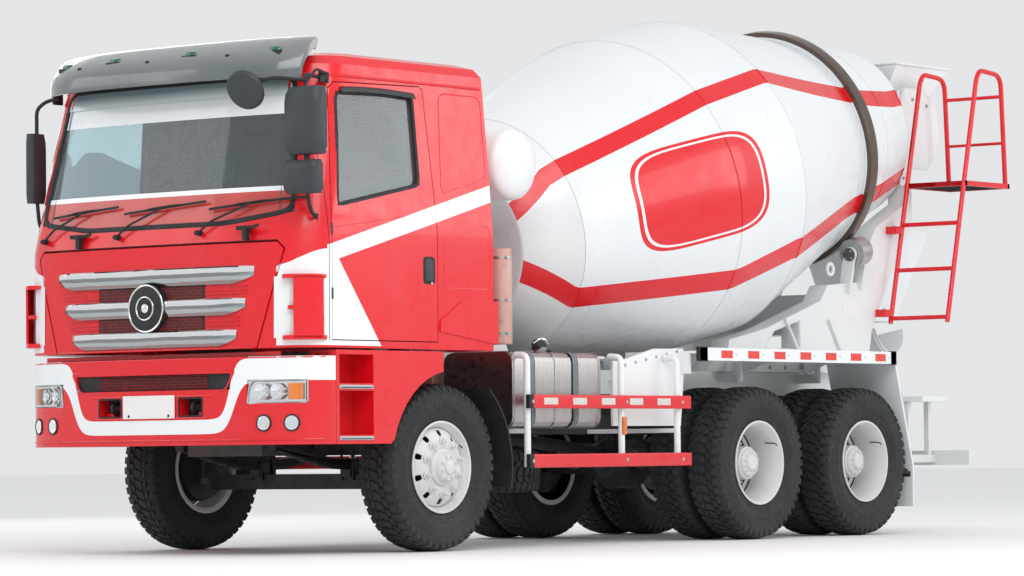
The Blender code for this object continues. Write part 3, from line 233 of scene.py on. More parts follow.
def bumper_stripes(k):
    """A white band that drops from the outer corners round the middle of the bumper."""
    t = (abs(k.x) - 0.69) / 0.11
    outer = 1.0 - (1.0 + (-(t * 3.2)).math("EXPONENT")).math("POWER", -1.0)
    low_edge = 1.085 - 0.325 * outer
    u = (abs(k.x) - 0.655) / 0.085
    inner = 1.0 - (1.0 + (-(u * 3.2)).math("EXPONENT")).math("POWER", -1.0)
    high_edge = 1.225 - 0.375 * inner
    inside = (k.z - low_edge).over(0.0) * ((k.z - high_edge).under(0.0).either(abs(k.x).over(0.8)))
    k.over(inside * k.y.under(-1.14), WHITE_C)


RED = enamel("red_enamel", RED_C)
CAB_RED = enamel("cab_enamel", RED_C, stripes=cab_stripes)
BUMPER_RED = enamel("bumper_enamel", RED_C, stripes=bumper_stripes)
WHITE = enamel("white_enamel", WHITE_C, 0.33)
FRAME_WHITE = enamel("white_frame_paint", (0.78, 0.8, 0.8), 0.42, dust=0.35)
GREY_PAINT = enamel("grey_paint", (0.46, 0.5, 0.51), 0.45, dust=0.3)
RIM_WHITE = enamel("rim_paint", (0.72, 0.73, 0.72), 0.42, dust=0.3, grime=(0.22, 0.16, 0.12))


def drum_marks(k):
    """Two red bands along each flank of the drum and a plain rounded panel between them."""
    _, y0, z0 = DRUM_HEAD
    c, n = cos(DRUM_TILT), sin(DRUM_TILT)
    s = (k.y - y0) * c + (k.z - z0) * n
    v = (k.z - z0) * c - (k.y - y0) * n
    r = (k.x * k.x + v * v).math("SQRT")
    angle = v.math("ARCTAN2", abs(k.x))
    def bent(table):
        """An angle round the drum that changes along it in straight runs."""
        at = s * 0.0 + rad(table[0][1])
        for (s0, a0), (s1, a1) in zip(table, table[1:]):
            at = at + s.ramp(s0, s1, 0.0, rad(a1 - a0))
        return at
    high = ((angle - bent(((0, 22), (0.25, 32.4), (1.75, 36.5), (2.52, 38.2), (4.6, 20.6)))) * r).near(0.0, 0.067)
    low = ((angle - bent(((0, -22), (0.32, -34.3), (1.83, -32.2), (2.5, -27.2), (3.64, -28.1), (4.3, -34)))) * r)
    k.over(high.either(low.near(0.0, 0.083)) * s.over(0.005), RED_C)
    a, b = abs((s - 1.47) / 0.64), abs(((angle - rad(4)) * r) / 0.37)
    badge = a.math("POWER", 4.0) + b.math("POWER", 4.0)
    k.over(badge.under(1.0), RED_C)
    k.over(badge.between(0.66, 0.78), WHITE_C)
    ring = s.near(3.907, 0.052) * r.over(0.88)
    k.over(ring, (0.075, 0.045, 0.032))
    streaks = k.noise(7.0, 6.0, 0.6, (1.0, 0.25, 1.0)).ramp(0.55, 0.8) * (-angle).ramp(-0.6, 1.2)
    k.over(streaks * 0.12, (0.55, 0.55, 0.53))


DRUM = enamel("drum_enamel", (0.8, 0.83, 0.845), 0.3, stripes=drum_marks, dust=0.0)


def worn(name, colour, rough, metal, patch, share, tint, dust=None, shine=None, grain=None, **constants):
    """A look with patches of a second colour, uneven gloss and a fine grain."""
    look = Look(name, colour, rough, metal, **constants)
    scale, detail, low, high = patch
    look.over(look.noise(scale, detail).ramp(low, high) * share, tint)
    if dust:
        look.dusty(*dust)
    if shine:
        look.gloss(look.noise(shine[0]).ramp(*shine[1:]))
    if grain:
        scale, detail, strength, depth = grain
        look.bump(look.noise(scale, detail), strength, depth)
    return look


BLACK = worn("chassis_black", (0.014, 0.016, 0.018), 0.55, 0, (5, 5, 0.45, 0.8), 0.5, (0.05, 0.046, 0.043),
             (0.3, 1.3, 0.22, (0.13, 0.12, 0.1)), (30, 0.3, 0.7, 0.42, 0.68), (240, 3, 0.2, 0.001))
PLASTIC = worn("moulded_plastic", (0.03, 0.038, 0.042), 0.5, 0, (3, 3, 0.4, 0.8), 0.4,
               (0.05, 0.058, 0.062), shine=(60, 0.3, 0.7, 0.4, 0.58))
PLASTIC.bump(PLASTIC.cells(900.0), 0.25, 0.0004)
SEAL = worn("rubber_seal", (0.012, 0.013, 0.014), 0.6, 0, (9, 3, 0.45, 0.8), 0.5, (0.035, 0.034, 0.033),
            shine=(40, 0.3, 0.7, 0.5, 0.75), grain=(300, 3, 0.15, 0.0005))
RUBBER = Look("tyre_rubber", (0.016, 0.018, 0.02), 0.78)
RUBBER.over(RUBBER.noise(7.0, 6.0).ramp(0.5, 0.8) * 0.35, (0.055, 0.052, 0.048))
RUBBER.over(RUBBER.noise(2.0, 6.0).ramp(0.45, 0.75) * RUBBER.z.ramp(0.5, 0.0) * 0.4, (0.1, 0.09, 0.078))
RUBBER.gloss(RUBBER.noise(40.0).ramp(0.3, 0.7, 0.62, 0.88)).bump(RUBBER.noise(300.0, 3.0), 0.25, 0.0008)

STEEL = worn("bare_steel", (0.5, 0.5, 0.49), 0.35, 1, (8, 6, 0.5, 0.8), 0.5, (0.24, 0.2, 0.17),
             shine=(35, 0.3, 0.7, 0.28, 0.5), grain=(180, 3, 0.15, 0.0005))
CHROME = worn("chrome", (0.86, 0.87, 0.88), 0.06, 1, (5, 3, 0.5, 0.9), 0.25, (0.62, 0.63, 0.64),
              shine=(20, 0.4, 0.8, 0.05, 0.14), edge=0.002)

# Chrome bars with painted reflections: along each bar's height the colour carries a dark band low down, a pale band
# and a reddish band, their edges waved by noise. These bands stand for reflections, not for the metal's own colour.
REFLECTION_PAINTED_CHROME = Look("bar_chrome_painted_reflections", (0.84, 0.86, 0.87), 0.08, 1.0, edge=0.002)
reflection_wave = REFLECTION_PAINTED_CHROME.noise(3.0, 2.0, stretch=(1.0, 1.0, 3.0)) * 0.022
for bar_low, bar_high in ((1.69, 1.8), (1.497, 1.602), (1.305, 1.408)):
    depth = (REFLECTION_PAINTED_CHROME.z + reflection_wave - bar_low) / (bar_high - bar_low)
    REFLECTION_PAINTED_CHROME.over(depth.between(0.0, 0.74) * 0.8, (0.16, 0.18, 0.18))
    REFLECTION_PAINTED_CHROME.over(depth.between(0.3, 0.52) * 0.6, (0.55, 0.6, 0.61))
    REFLECTION_PAINTED_CHROME.over(depth.between(0.16, 0.26) * 0.55, (0.42, 0.16, 0.15))
REFLECTION_PAINTED_CHROME.gloss(REFLECTION_PAINTED_CHROME.noise(20.0).ramp(0.4, 0.8, 0.06, 0.16))

STRAP = worn("tank_strap", (0.17, 0.2, 0.21), 0.42, 0.4, (9, 3, 0.4, 0.8), 0.4, (0.26, 0.29, 0.3),
             shine=(30, 0.3, 0.7, 0.34, 0.5))

ALLOY = Look("tank_aluminium", (0.46, 0.44, 0.43), 0.32, 1.0)
ALLOY.over(ALLOY.noise(4.0, 5.0, stretch=(1, 14, 1)).ramp(0.42, 0.75) * 0.5, (0.33, 0.29, 0.28))
ALLOY.gloss(ALLOY.noise(30.0, 4.0, stretch=(1, 12, 1)).ramp(0.3, 0.7, 0.24, 0.4))
ALLOY.bump(ALLOY.noise(160.0, 2.0, stretch=(1, 0.05, 1)), 0.12, 0.0006)

CAST = worn("cast_iron", (0.1, 0.098, 0.095), 0.62, 0.5, (6, 6, 0.45, 0.75), 0.6, (0.13, 0.085, 0.055),
            (0.3, 1.2, 0.3, (0.15, 0.13, 0.11)), (25, 0.3, 0.7, 0.5, 0.75), (110, 4, 0.4, 0.002))
GLASS = worn("window_glass", (0.46, 0.57, 0.6), 0.02, 0, (2, 3, 0.4, 0.8), 0.2, (0.38, 0.48, 0.51),
             shine=(3, 0.5, 0.9, 0.0, 0.02), edge=0, Transmission_Weight=0.9, IOR=1.45)
LENS = worn("clear_lens", (0.92, 0.95, 0.96), 0.03, 0, (9, 3, 0.5, 0.9), 0.15, (0.8, 0.84, 0.86),
            shine=(30, 0.4, 0.8, 0.02, 0.06), edge=0.002, Transmission_Weight=0.93, IOR=1.45)


def lamp_look(name, colour):
    look = Look(name, colour, 0.15, edge=0.002, Transmission_Weight=0.25, Coat_Weight=0.5)
    look.over(look.noise(40.0).ramp(0.4, 0.7) * 0.3, tuple(c * 0.6 for c in colour))
    look.gloss(look.noise(50.0).ramp(0.3, 0.7, 0.1, 0.24)).bump(look.cells(260.0), 0.35, 0.001)
    return look


AMBER = lamp_look("amber_lens", (0.9, 0.22, 0.01))
GREEN = lamp_look("green_lens", (0.01, 0.16, 0.07))
TAIL = lamp_look("red_lens", (0.55, 0.01, 0.01))
SILVER_FILM = Look("reflector_film", (0.78, 0.76, 0.72), 0.25, 0.3, edge=0.001)
SILVER_FILM.over(SILVER_FILM.cells(180.0).ramp(0.2, 0.6) * 0.5, (0.55, 0.5, 0.44))
SILVER_FILM.gloss(SILVER_FILM.noise(50.0).ramp(0.3, 0.7, 0.2, 0.4))
RED_FILM = Look("red_film", (0.72, 0.02, 0.015), 0.28, edge=0.001, Coat_Weight=0.3)
RED_FILM.over(RED_FILM.cells(180.0).ramp(0.2, 0.6) * 0.4, (0.85, 0.1, 0.06))
RED_FILM.gloss(RED_FILM.noise(50.0).ramp(0.3, 0.7, 0.22, 0.4))
PLATE = worn("blank_plate", (0.82, 0.8, 0.79), 0.35, 0, (12, 5, 0.5, 0.8), 0.2, (0.62, 0.58, 0.55),
             shine=(30, 0.3, 0.7, 0.28, 0.45), edge=0.001)
MESH_RED = worn("mesh_red", (0.3, 0.01, 0.012), 0.5, 0, (20, 3, 0.4, 0.7), 0.6, (0.16, 0.008, 0.01),
                shine=(40, 0.3, 0.7, 0.4, 0.6), edge=0)
BAND_RED = worn("windshield_film_red", (0.6, 0.05, 0.04), 0.3, 0, (5, 5, 0.35, 0.7), 0.6,
                (0.42, 0.055, 0.045), shine=(9, 0.3, 0.7, 0.15, 0.35), edge=0, Coat_Weight=0.5)
BAND_WHITE = worn("windshield_film_white", (0.86, 0.9, 0.92), 0.25, 0, (3, 4, 0.4, 0.7), 0.35,
                  (0.7, 0.78, 0.8), shine=(9, 0.3, 0.7, 0.15, 0.3), edge=0, Coat_Weight=0.6)

# Painted shade: an opaque sheet laid over the cab's header under the visor, coloured as the windshield's top lying
# in shadow, dark teal above and fading to pale at its lower edge.
BAND_SHADE = Look("windshield_painted_shade", (0.2, 0.29, 0.31), 0.12, edge=0, Coat_Weight=0.6)
BAND_SHADE.over((BAND_SHADE.z + BAND_SHADE.noise(2.0) * 0.03).ramp(2.96, 2.9), (0.72, 0.8, 0.82))
BAND_SHADE.gloss(BAND_SHADE.noise(9.0).ramp(0.3, 0.7, 0.08, 0.2))

SMOKE = Look("visor_smoke", (0.19, 0.21, 0.215), 0.16, Transmission_Weight=0.12, IOR=1.49, Coat_Weight=0.4)
SMOKE.over((SMOKE.z - 3.04).ramp(0.1, -0.02) * 0.55, (0.1, 0.125, 0.13))
SMOKE.over(SMOKE.noise(1.6, 3.0, stretch=(1, 2, 2)).ramp(0.45, 0.75) * 0.45, (0.34, 0.3, 0.3))
SMOKE.gloss(SMOKE.noise(30.0).ramp(0.3, 0.7, 0.12, 0.26))

CLOTH = Look("seat_cloth", (0.05, 0.054, 0.06), 0.92, edge=0, Sheen_Weight=0.35)
weave = CLOTH.noise(520.0, 2.0, stretch=(1, 0.3, 1)) + CLOTH.noise(520.0, 2.0, stretch=(0.3, 1, 1))
CLOTH.over(weave.ramp(0.8, 1.2) * 0.6, (0.1, 0.105, 0.115)).bump(weave, 0.5, 0.001)

RUST = Look("stack_primer", (0.55, 0.28, 0.22), 0.5, 0.1)
RUST.over(RUST.noise(6.0, 6.0, stretch=(1, 1, 0.3)).ramp(0.4, 0.7) * 0.6, (0.74, 0.62, 0.58))
RUST.over(RUST.noise(14.0, 6.0).ramp(0.58, 0.75) * 0.5, (0.3, 0.11, 0.06))
RUST.gloss(RUST.noise(30.0).ramp(0.3, 0.7, 0.35, 0.7)).bump(RUST.noise(140.0), 0.3, 0.001)

SLOT_LOOKS = {"cab_red": CAB_RED, "body_white": WHITE, "frame_black": BLACK, "tyre_rubber": RUBBER,
              "bare_steel": STEEL, "tank_aluminium": ALLOY, "cast_grey": CAST, "trim_plastic": PLASTIC,
              "window_glass": GLASS, "visor_smoke": SMOKE, "seat_cloth": CLOTH, "stack_primer": RUST}
NODE_LOOKS = {"front_bumper": BUMPER_RED, "step_left": RED, "step_right": RED, "access_ladder": RED,
              "mixer_subframe": FRAME_WHITE, "rear_bumper": FRAME_WHITE, "rear_pedestal": FRAME_WHITE}
for name, node in NODES.items():
    for i, m in enumerate(node.data.materials):
        node.data.materials[i] = NODE_LOOKS.get(name, SLOT_LOOKS[m.name.split(".")[0]]).made
    # welded and shaded smooth except over sharp edges; no vertex is moved
    normals = node.data.attributes.get("custom_normal")
    if normals:
        node.data.attributes.remove(normals)
    node.data.polygons.foreach_set("use_smooth", [True] * len(node.data.polygons))
    weld = node.modifiers.new("weld", "WELD")
    weld.merge_threshold = 0.0002
    split = node.modifiers.new("sharp_edges", "EDGE_SPLIT")
    split.split_angle = rad(29)


# ---------------------------------------------------------------- shapes

class Piece:
    """A mesh made in truck coordinates; every part of it takes the look last named by use()."""

    def __init__(self, name, look):
        self.name, self.bm, self.looks = name, bmesh.new(), [look]
        self.at = 0

    def use(self, look):
        if look not in self.looks:
            self.looks.append(look)
        self.at = self.looks.index(look)
        return self

    def faces(self, points, faces):
        verts = [self.bm.verts.new(p) for p in points]
        made = []
        for f in faces:
            if len(set(f)) > 2:
                made.append(self.bm.faces.new([verts[i] for i in f]))
                made[-1].material_index = self.at
        return made

    def loft(self, sections, closed=True, caps=True, loop=False):
        """Joins equal-length sections; closed joins each section's ends, loop joins last to first."""
        n, points = len(sections[0]), [p for s in sections for p in s]
        faces = []
        rows = len(sections)
        for i in range(rows if loop else rows - 1):
            j = (i + 1) % rows
            for k in range(n if closed else n - 1):
                m = (k + 1) % n
                faces.append((i * n + k, i * n + m, j * n + m, j * n + k))
        if caps and closed and not loop:
            faces += [tuple(range(n))[::-1], tuple(range((rows - 1) * n, rows * n))]
        return self.faces(points, faces)

    def sheet(self, sections, loop=False):
        return self.loft(sections, closed=False, caps=False, loop=loop)

    def soften(self, made, size, steps=2, angle=25):
        edges = {e for f in made if f.is_valid for e in f.edges
                 if len(e.link_faces) == 2 and e.calc_face_angle(0) > rad(angle)}
        if size > 0 and edges:
            result = bmesh.ops.bevel(self.bm, geom=list(edges), offset=size, segments=steps, profile=0.6,
                                     affect="EDGES", clamp_overlap=True)
            for f in result["faces"]:
                f.material_index = self.at
        return self

    def block(self, x0, x1, y0, y1, z0, z1, soft=0.004, steps=2):
        points = [Vector((x, y, z)) for z in (z0, z1) for y in (y0, y1) for x in sorted((x0, x1))]
        made = self.faces(points, [(0, 2, 3, 1), (4, 5, 7, 6), (0, 1, 5, 4), (2, 6, 7, 3), (0, 4, 6, 2),
                                          (1, 3, 7, 5)])
        return self.soften(made, soft, steps)

    def slab(self, axis, outline, a, b, soft=0.003, steps=2):
        """An outline of (u, v) pairs pushed from a to b along X, Y or Z."""
        def put(u, v, w):
            return {"X": (w, u, v), "Y": (u, w, v), "Z": (u, v, w)}[axis]
        made = self.loft([[put(u, v, w) for u, v in outline] for w in (a, b)])
        bmesh.ops.recalc_face_normals(self.bm, faces=made)
        return self.soften(made, soft, steps)

    def lathe(self, profile, place, n=48, closed=False):
        """Turns (along, radius) pairs round the local Z of place."""
        rows = []
        for k in range(n):
            t = 2 * pi * k / n
            rows.append([place @ Vector((r * cos(t), r * sin(t), h)) for h, r in profile])
        return self.loft(rows, closed=closed, caps=False, loop=True)

    def rod(self, a, b, r, r2=None, n=20, soft=None):
        a, b = Vector(a), Vector(b)
        r2 = r if r2 is None else r2
        length = (b - a).length
        s = min(0.2 * min(r, r2), length * 0.3) if soft is None else soft
        self.lathe([(0, 0), (0, r - s), (s, r), (length - s, r2), (length, r2 - s), (length, 0)], aim(a, b - a), n)
        return self

    def tube(self, points, r, n=12, bend=0.05, steps=5, caps=True):
        points = [Vector(p) for p in points]
        path = [points[0]]
        for before, here, after in zip(points, points[1:], points[2:]):
            reach = min(bend, (before - here).length * 0.45, (after - here).length * 0.45)
            a, b = here + (before - here).normalized() * reach, here + (after - here).normalized() * reach
            for k in range(steps + 1):
                t = k / steps
                path.append(a * (1 - t) ** 2 + here * 2 * t * (1 - t) + b * t * t)
        path.append(points[-1])
        return self.pipe(path, r, n, caps)

    def pipe(self, path, r, n=12, caps=True, loop=False):
        rows = []
        side = None
        path = [Vector(p) for p in path]
        count = len(path)
        for i, p in enumerate(path):
            if loop:
                heading = (path[(i + 1) % count] - path[i - 1]).normalized()
            else:
                heading = (path[min(i + 1, count - 1)] - path[max(i - 1, 0)]).normalized()
            if side is None:
                side = heading.orthogonal().normalized()
            side = (side - heading * side.dot(heading)).normalized()
            up = heading.cross(side)
            rows.append([p + (side * cos(2 * pi * k / n) + up * sin(2 * pi * k / n)) * r for k in range(n)])
        return self.loft(rows, caps=caps, loop=loop)

    def bolt(self, at, out, r=0.012, high=None):
        """A hexagon head on a washer."""
        at, out = Vector(at), Vector(out).normalized()
        high = r * 1.1 if high is None else high
        place = aim(at, out)
        self.lathe([(0, r * 1.5), (r * 0.18, r * 1.5), (r * 0.22, r * 1.35), (r * 0.22, 0)], place, 14)
        self.lathe([(r * 0.2, r), (high * 0.82, r), (high, r * 0.8), (high, 0)], place, 6)
        return self

    def ball(self, at, r, out=(0, 0, 1), squash=1.0, n=16, part=1.0):
        profile = [(r * squash * cos(pi * part * k / 8), r * sin(pi * part * k / 8)) for k in range(9)][::-1]
        return self.lathe(profile, aim(Vector(at), Vector(out)), n)

    def mirrored(self):
        faces = list(self.bm.faces)
        made = bmesh.ops.duplicate(self.bm, geom=faces)["geom"]
        for v in (g for g in made if isinstance(g, bmesh.types.BMVert)):
            v.co.x = -v.co.x
        bmesh.ops.reverse_faces(self.bm, faces=[g for g in made if isinstance(g, bmesh.types.BMFace)])
        return self

    def done(self, body, *replaces, slot=None, sharp=32, thick=0, smooth=0, fix=True):
        bmesh.ops.remove_doubles(self.bm, verts=self.bm.verts, dist=0.00002)
        if fix:
            bmesh.ops.recalc_face_normals(self.bm, faces=self.bm.faces)
        for f in self.bm.faces:
            f.smooth = True
        for e in self.bm.edges:
            if len(e.link_faces) == 2 and e.calc_face_angle(0) > rad(sharp):
                e.smooth = False
        bmesh.ops.translate(self.bm, verts=self.bm.verts, vec=HOME)
        mesh = bpy.data.meshes.new(self.name)
        self.bm.to_mesh(mesh)
        self.bm.free()
        for look in self.looks:
            mesh.materials.append(look.made)
        piece = bpy.data.objects.new(self.name, mesh)
        bpy.context.scene.collection.objects.link(piece)
        if thick:
            shell = piece.modifiers.new("thickness", "SOLIDIFY")
            shell.thickness, shell.offset = abs(thick), 1 if thick > 0 else -1
        if smooth:
            finer = piece.modifiers.new("rounding", "SUBSURF")
            finer.levels = finer.render_levels = smooth
        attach(piece, body)
        if replaces:
            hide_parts(*replaces)
        return piece


def circle(place, r, level, n):
    """n points round the local Z of a placement."""
    return [place @ Vector((r * cos(2 * pi * k / n), r * sin(2 * pi * k / n), level)) for k in range(n)]


def spread(a, b, n):
    """n + 1 numbers from a to b."""
    return [a + (b - a) * i / n for i in range(n + 1)]


def moved(at, profile):
    """A profile of (along, radius) pairs shifted along."""
    return [(at + h, r) for h, r in profile]


def evenly(outline, n):
    """n points evenly spaced round a closed outline."""
    points = [Vector(p) for p in outline]
    return thick_line(points + points[:1], n + 1)[:-1]


def aim(at, out):
    """A placement whose local Z points along out."""
    z = Vector(out).normalized()
    x = (Vector((0, 0, 1)) if abs(z.z) < 0.9 else Vector((0, 1, 0))).cross(z).normalized()
    y = z.cross(x)
    return Matrix(((x.x, y.x, z.x, at[0]), (x.y, y.y, z.y, at[1]), (x.z, y.z, z.z, at[2]), (0, 0, 0, 1)))


def rounded(outline, reach, steps=4):
    """A closed outline of (u, v) pairs with its corners rounded."""
    points, out = [Vector(p) for p in outline], []
    for i, here in enumerate(points):
        before, after = points[i - 1], points[(i + 1) % len(points)]
        d = min(reach, (before - here).length * 0.45, (after - here).length * 0.45)
        a, b = here + (before - here).normalized() * d, here + (after - here).normalized() * d
        for k in range(steps + 1):
            t = k / steps
            out.append(tuple(a * (1 - t) ** 2 + here * 2 * t * (1 - t) + b * t * t))
    return out


def thick_line(points, count):
    """count points evenly spaced along an open or closed run of points."""
    points = [Vector(p) for p in points]
    lengths = [(b - a).length for a, b in zip(points, points[1:])]
    total, out, i, used = sum(lengths), [], 0, 0.0
    for k in range(count):
        want = total * k / (count - 1)
        while i < len(lengths) - 1 and used + lengths[i] < want:
            used += lengths[i]
            i += 1
        out.append(points[i].lerp(points[i + 1], min(1.0, (want - used) / max(lengths[i], 1e-9))))
    return out


# The cab's skin: height, half width, foremost point; then share of the half width, set-back.
CAB_LEVELS = ((1.285, 1.235, -1.485), (1.94, 1.24, -1.475), (2.1, 1.235, -1.435), (2.92, 1.165, -1.265),
              (3.06, 1.15, -1.225), (3.115, 1.11, -1.17), (3.15, 0.98, -1.01))
CAB_FRONT = ((0.0, 0.0), (0.36, 0.008), (0.62, 0.028), (0.8, 0.058), (0.88, 0.09), (0.94, 0.14),
             (0.98, 0.2), (1.0, 0.275))


def between(table, at, column=1):
    for a, b in zip(table, table[1:]):
        if at <= b[0]:
            t = max(0.0, (at - a[0]) / (b[0] - a[0]))
            return a[column] + (b[column] - a[column]) * t
    return table[-1][column]


def front_point(x, z, out=0.0):
    """A point on the cab's front skin, lifted off it by out."""
    def depth(x, z):
        return between(CAB_LEVELS, z, 2) + between(CAB_FRONT, min(1.0, abs(x) / between(CAB_LEVELS, z)))
    e = 0.01
    here = Vector((x, depth(x, z), z))
    normal = Vector(((depth(x + e, z) - depth(x - e, z)) / (2 * e), -1.0,
                     (depth(x, z + e) - depth(x, z - e)) / (2 * e)))
    return here + normal.normalized() * out


def side_point(y, z, side=1, out=0.0):
    """A point on the cab's side skin."""
    half, front = between(CAB_LEVELS, z), between(CAB_LEVELS, z, 2)
    turned = [(back, share) for share, back in CAB_FRONT]
    share = between(turned, y - front) if y - front < 0.275 else 1.0
    return Vector((side * (half * share + out), y, z))


# ---------------------------------------------------------------- wheels

def carcass(piece, place, centre):
    """One tyre with its tread: smooth sidewalls with ribs, and 48 pitches of blocks."""
    top = WHEEL_R - 0.014
    half = [(0.1, 0.279), (0.106, 0.296), (0.116, 0.303), (0.124, 0.322), (0.127, 0.33), (0.125, 0.334),
            (0.133, 0.35), (0.14, 0.378), (0.1435, 0.384), (0.1445, 0.392), (0.1425, 0.4), (0.1445, 0.425),
            (0.143, 0.452), (0.1405, 0.458), (0.1405, 0.466), (0.137, 0.48), (0.13, 0.5), (0.121, 0.513),
            (0.108, top), (0.05, top + 0.001)]
    profile = [(centre - h, r) for h, r in half] + [(centre + h, r) for h, r in half[::-1]]
    piece.lathe(profile, place, 96)
    pitches, crown = 48, WHEEL_R - 0.0006

    def block(x0, x1, t0, t1, low, high, skew=0.0, drop=0.0):
        points = []
        for r, grow in ((low, 0.0), (high - 0.002, 0.0), (high, 0.0025)):
            for x, t in ((x0 + grow, t0), (x1 - grow, t0), (x1 - grow, t1), (x0 + grow, t1)):
                lean = skew * (x - x0) / (x1 - x0)
                g = grow / r * (1 if t == t0 else -1)
                rr = r - (drop if abs(x - centre) > 0.112 else 0.0)
                points.append(place @ Vector((rr * cos(t + lean + g), rr * sin(t + lean + g), x)))
        faces = [(8, 9, 10, 11)]
        for k in range(2):
            faces += [(4 * k + i, 4 * k + (i + 1) % 4, 4 * k + 4 + (i + 1) % 4, 4 * k + 4 + i) for i in range(4)]
        piece.faces(points, faces)

    for k in range(pitches):
        t, w = 2 * pi * k / pitches, 2 * pi / pitches
        for side in (-1, 1):
            shift = 0.5 * w if side > 0 else 0.0
            a, b = centre + side * 0.074, centre + side * 0.129
            block(min(a, b), max(a, b), t + shift, t + shift + w * 0.66, top - 0.012, crown - 0.001,
                  skew=side * 0.1 * w, drop=0.012)
            a, b = centre + side * 0.037, centre + side * 0.068
            block(min(a, b), max(a, b), t + shift + w * 0.3, t + shift + w * 0.98, top - 0.004, crown,
                  skew=side * 0.25 * w)
            a, b = centre + side * 0.124, centre + side * 0.138
            block(min(a, b), max(a, b), t + shift + w * 0.1, t + shift + w * 0.58, 0.47, 0.515)
        block(centre - 0.03, centre + 0.03, t + w * 0.1, t + w * 0.8, top - 0.004, crown, skew=0.35 * w)


def nuts(piece, place, ring, level, count=10, r=0.016, reach=0.034):
    for k in range(count):
        t = 2 * pi * (k + 0.5) / count
        spot = place @ Matrix.Translation((ring * cos(t), ring * sin(t), level))
        piece.lathe([(0, r * 1.75), (0.005, r * 1.7), (0.007, r * 1.45), (0.007, r)], spot, 16)
        piece.lathe([(0.006, r * 1.12), (reach * 0.62, r * 1.12), (reach * 0.7, r * 0.8), (reach, r * 0.62),
                     (reach, 0)], spot, 6)


def disc_with_holes(name, body, place, rings, hole_rows, count=10):
    """A wheel disc as a grid whose hand holes are left open, thickened and rounded."""
    piece = Piece(name, RIM_WHITE)
    n = count * 8
    points = [p for h, r in rings for p in circle(place, r, h, n)]
    faces = []
    for i in range(len(rings) - 1):
        for k in range(n):
            if i in hole_rows and k % 8 in (3, 4):
                continue
            m = (k + 1) % n
            faces.append((i * n + k, i * n + m, (i + 1) * n + m, (i + 1) * n + k))
    piece.faces(points, faces)
    return piece.done(body, thick=-0.01, smooth=1, sharp=60)


def wheel(word, side, y, twin):
    label = f"{word}_{'left' if side > 0 else 'right'}"
    body = f"wheel_{label}"
    place = aim((0, y, HUB_Z), (side, 0, 0))
    rubber = Piece(f"tread_{label}", RUBBER)
    for centre in ((0.765, 1.095) if twin else (FRONT_X,)):
        carcass(rubber, place, centre)
    rubber.done(body, f"tyre_{label}", slot="tyre_rubber", fix=False)
    rim = Piece(f"wheel_rim_{label}", RIM_WHITE)
    c = 1.095 if twin else FRONT_X
    lip = [(0.112, 0.292), (0.12, 0.2975), (0.127, 0.2955), (0.1285, 0.288), (0.124, 0.281),
           (0.108, 0.276), (0.098, 0.27)]
    if twin:
        barrel = lip + [(0.06, 0.262), (0.045, 0.258), (-0.02, 0.256), (-0.06, 0.25), (-0.112, 0.248)]
        rim.lathe(moved(c, barrel), place, 80)
        rim.lathe([(0.64, 0.262), (0.637, 0.285), (0.64, 0.2975), (0.652, 0.296), (0.664, 0.279)], place, 64)
        disc = (0.765 + 1.095) / 2
        rings = moved(disc, [(0.04, 0.252), (0.045, 0.242), (0.04, 0.226), (0.034, 0.212), (0.026, 0.198),
                             (0.018, 0.186), (0.016, 0.172), (0.016, 0.12), (0.02, 0.105)])
        disc_with_holes(f"wheel_disc_{label}", body, place, rings, (2, 3))
        nuts(rim, place, 0.1675, disc + 0.016, reach=0.044)
        hub = moved(disc, [(0.012, 0.134), (0.05, 0.132), (0.06, 0.124)])
        hub += moved(c, [(0.02, 0.116), (0.026, 0.104),
               (0.04, 0.1), (0.047, 0.093), (0.047, 0.06), (0.062, 0.055), (0.07, 0.045),
               (0.072, 0)])
        rim.lathe(hub, place, 48)
        nuts(rim, place, 0.078, c + 0.046, 12, 0.008, 0.014)
    else:
        rim.lathe(moved(c, lip + [(0.085, 0.262), (0.072, 0.256), (0.05, 0.254), (-0.1, 0.256),
                         (-0.118, 0.262), (-0.128, 0.285), (-0.126, 0.2975), (-0.114, 0.294)]), place, 80)
        rings = moved(c, [(0.07, 0.257), (0.08, 0.25), (0.091, 0.24), (0.099, 0.229), (0.107, 0.217),
                 (0.115, 0.203), (0.121, 0.192), (0.125, 0.18), (0.126, 0.15), (0.126, 0.112)])
        disc_with_holes(f"wheel_disc_{label}", body, place, rings, (2, 3, 4))
        nuts(rim, place, 0.1675, c + 0.126, reach=0.046)
        hub = moved(c, [(0.12, 0.122), (0.136, 0.12), (0.142, 0.112), (0.15, 0.1), (0.172, 0.092),
               (0.18, 0.084), (0.184, 0.05), (0.196, 0.046), (0.202, 0.036), (0.203, 0)])
        rim.lathe(hub, place, 48)
        nuts(rim, place, 0.07, c + 0.182, 8, 0.007, 0.012)
    t = 0.6 if side > 0 else 2.4
    stem = [place @ Vector((0.245 * cos(t), 0.245 * sin(t), c + (0.03 if twin else 0.085))),
            place @ Vector((0.24 * cos(t), 0.24 * sin(t), c + 0.118)), place @ Vector((0.215 * cos(t),
                    0.215 * sin(t), c + 0.148))]
    rim.use(BLACK).tube(stem, 0.0045, 8, 0.02)
    rim.done(body, f"rim_{label}", slot="body_white", fix=False)
    back = Piece(f"brake_drum_{label}", BLACK)
    inner = (c - 0.4) if twin else (c - 0.105)
    back.lathe([(inner, 0.06), (inner, 0.205), (inner + 0.05, 0.215), (c - (0.13 if twin else 0.02), 0.215),
                (c - (0.13 if twin else 0.01), 0.14)], place, 40)
    back.done(body)


for side in (1, -1):
    wheel("front", side, 0.0, False)
    for word, y in REAR_YS.items():
        wheel(word, side, y, True)


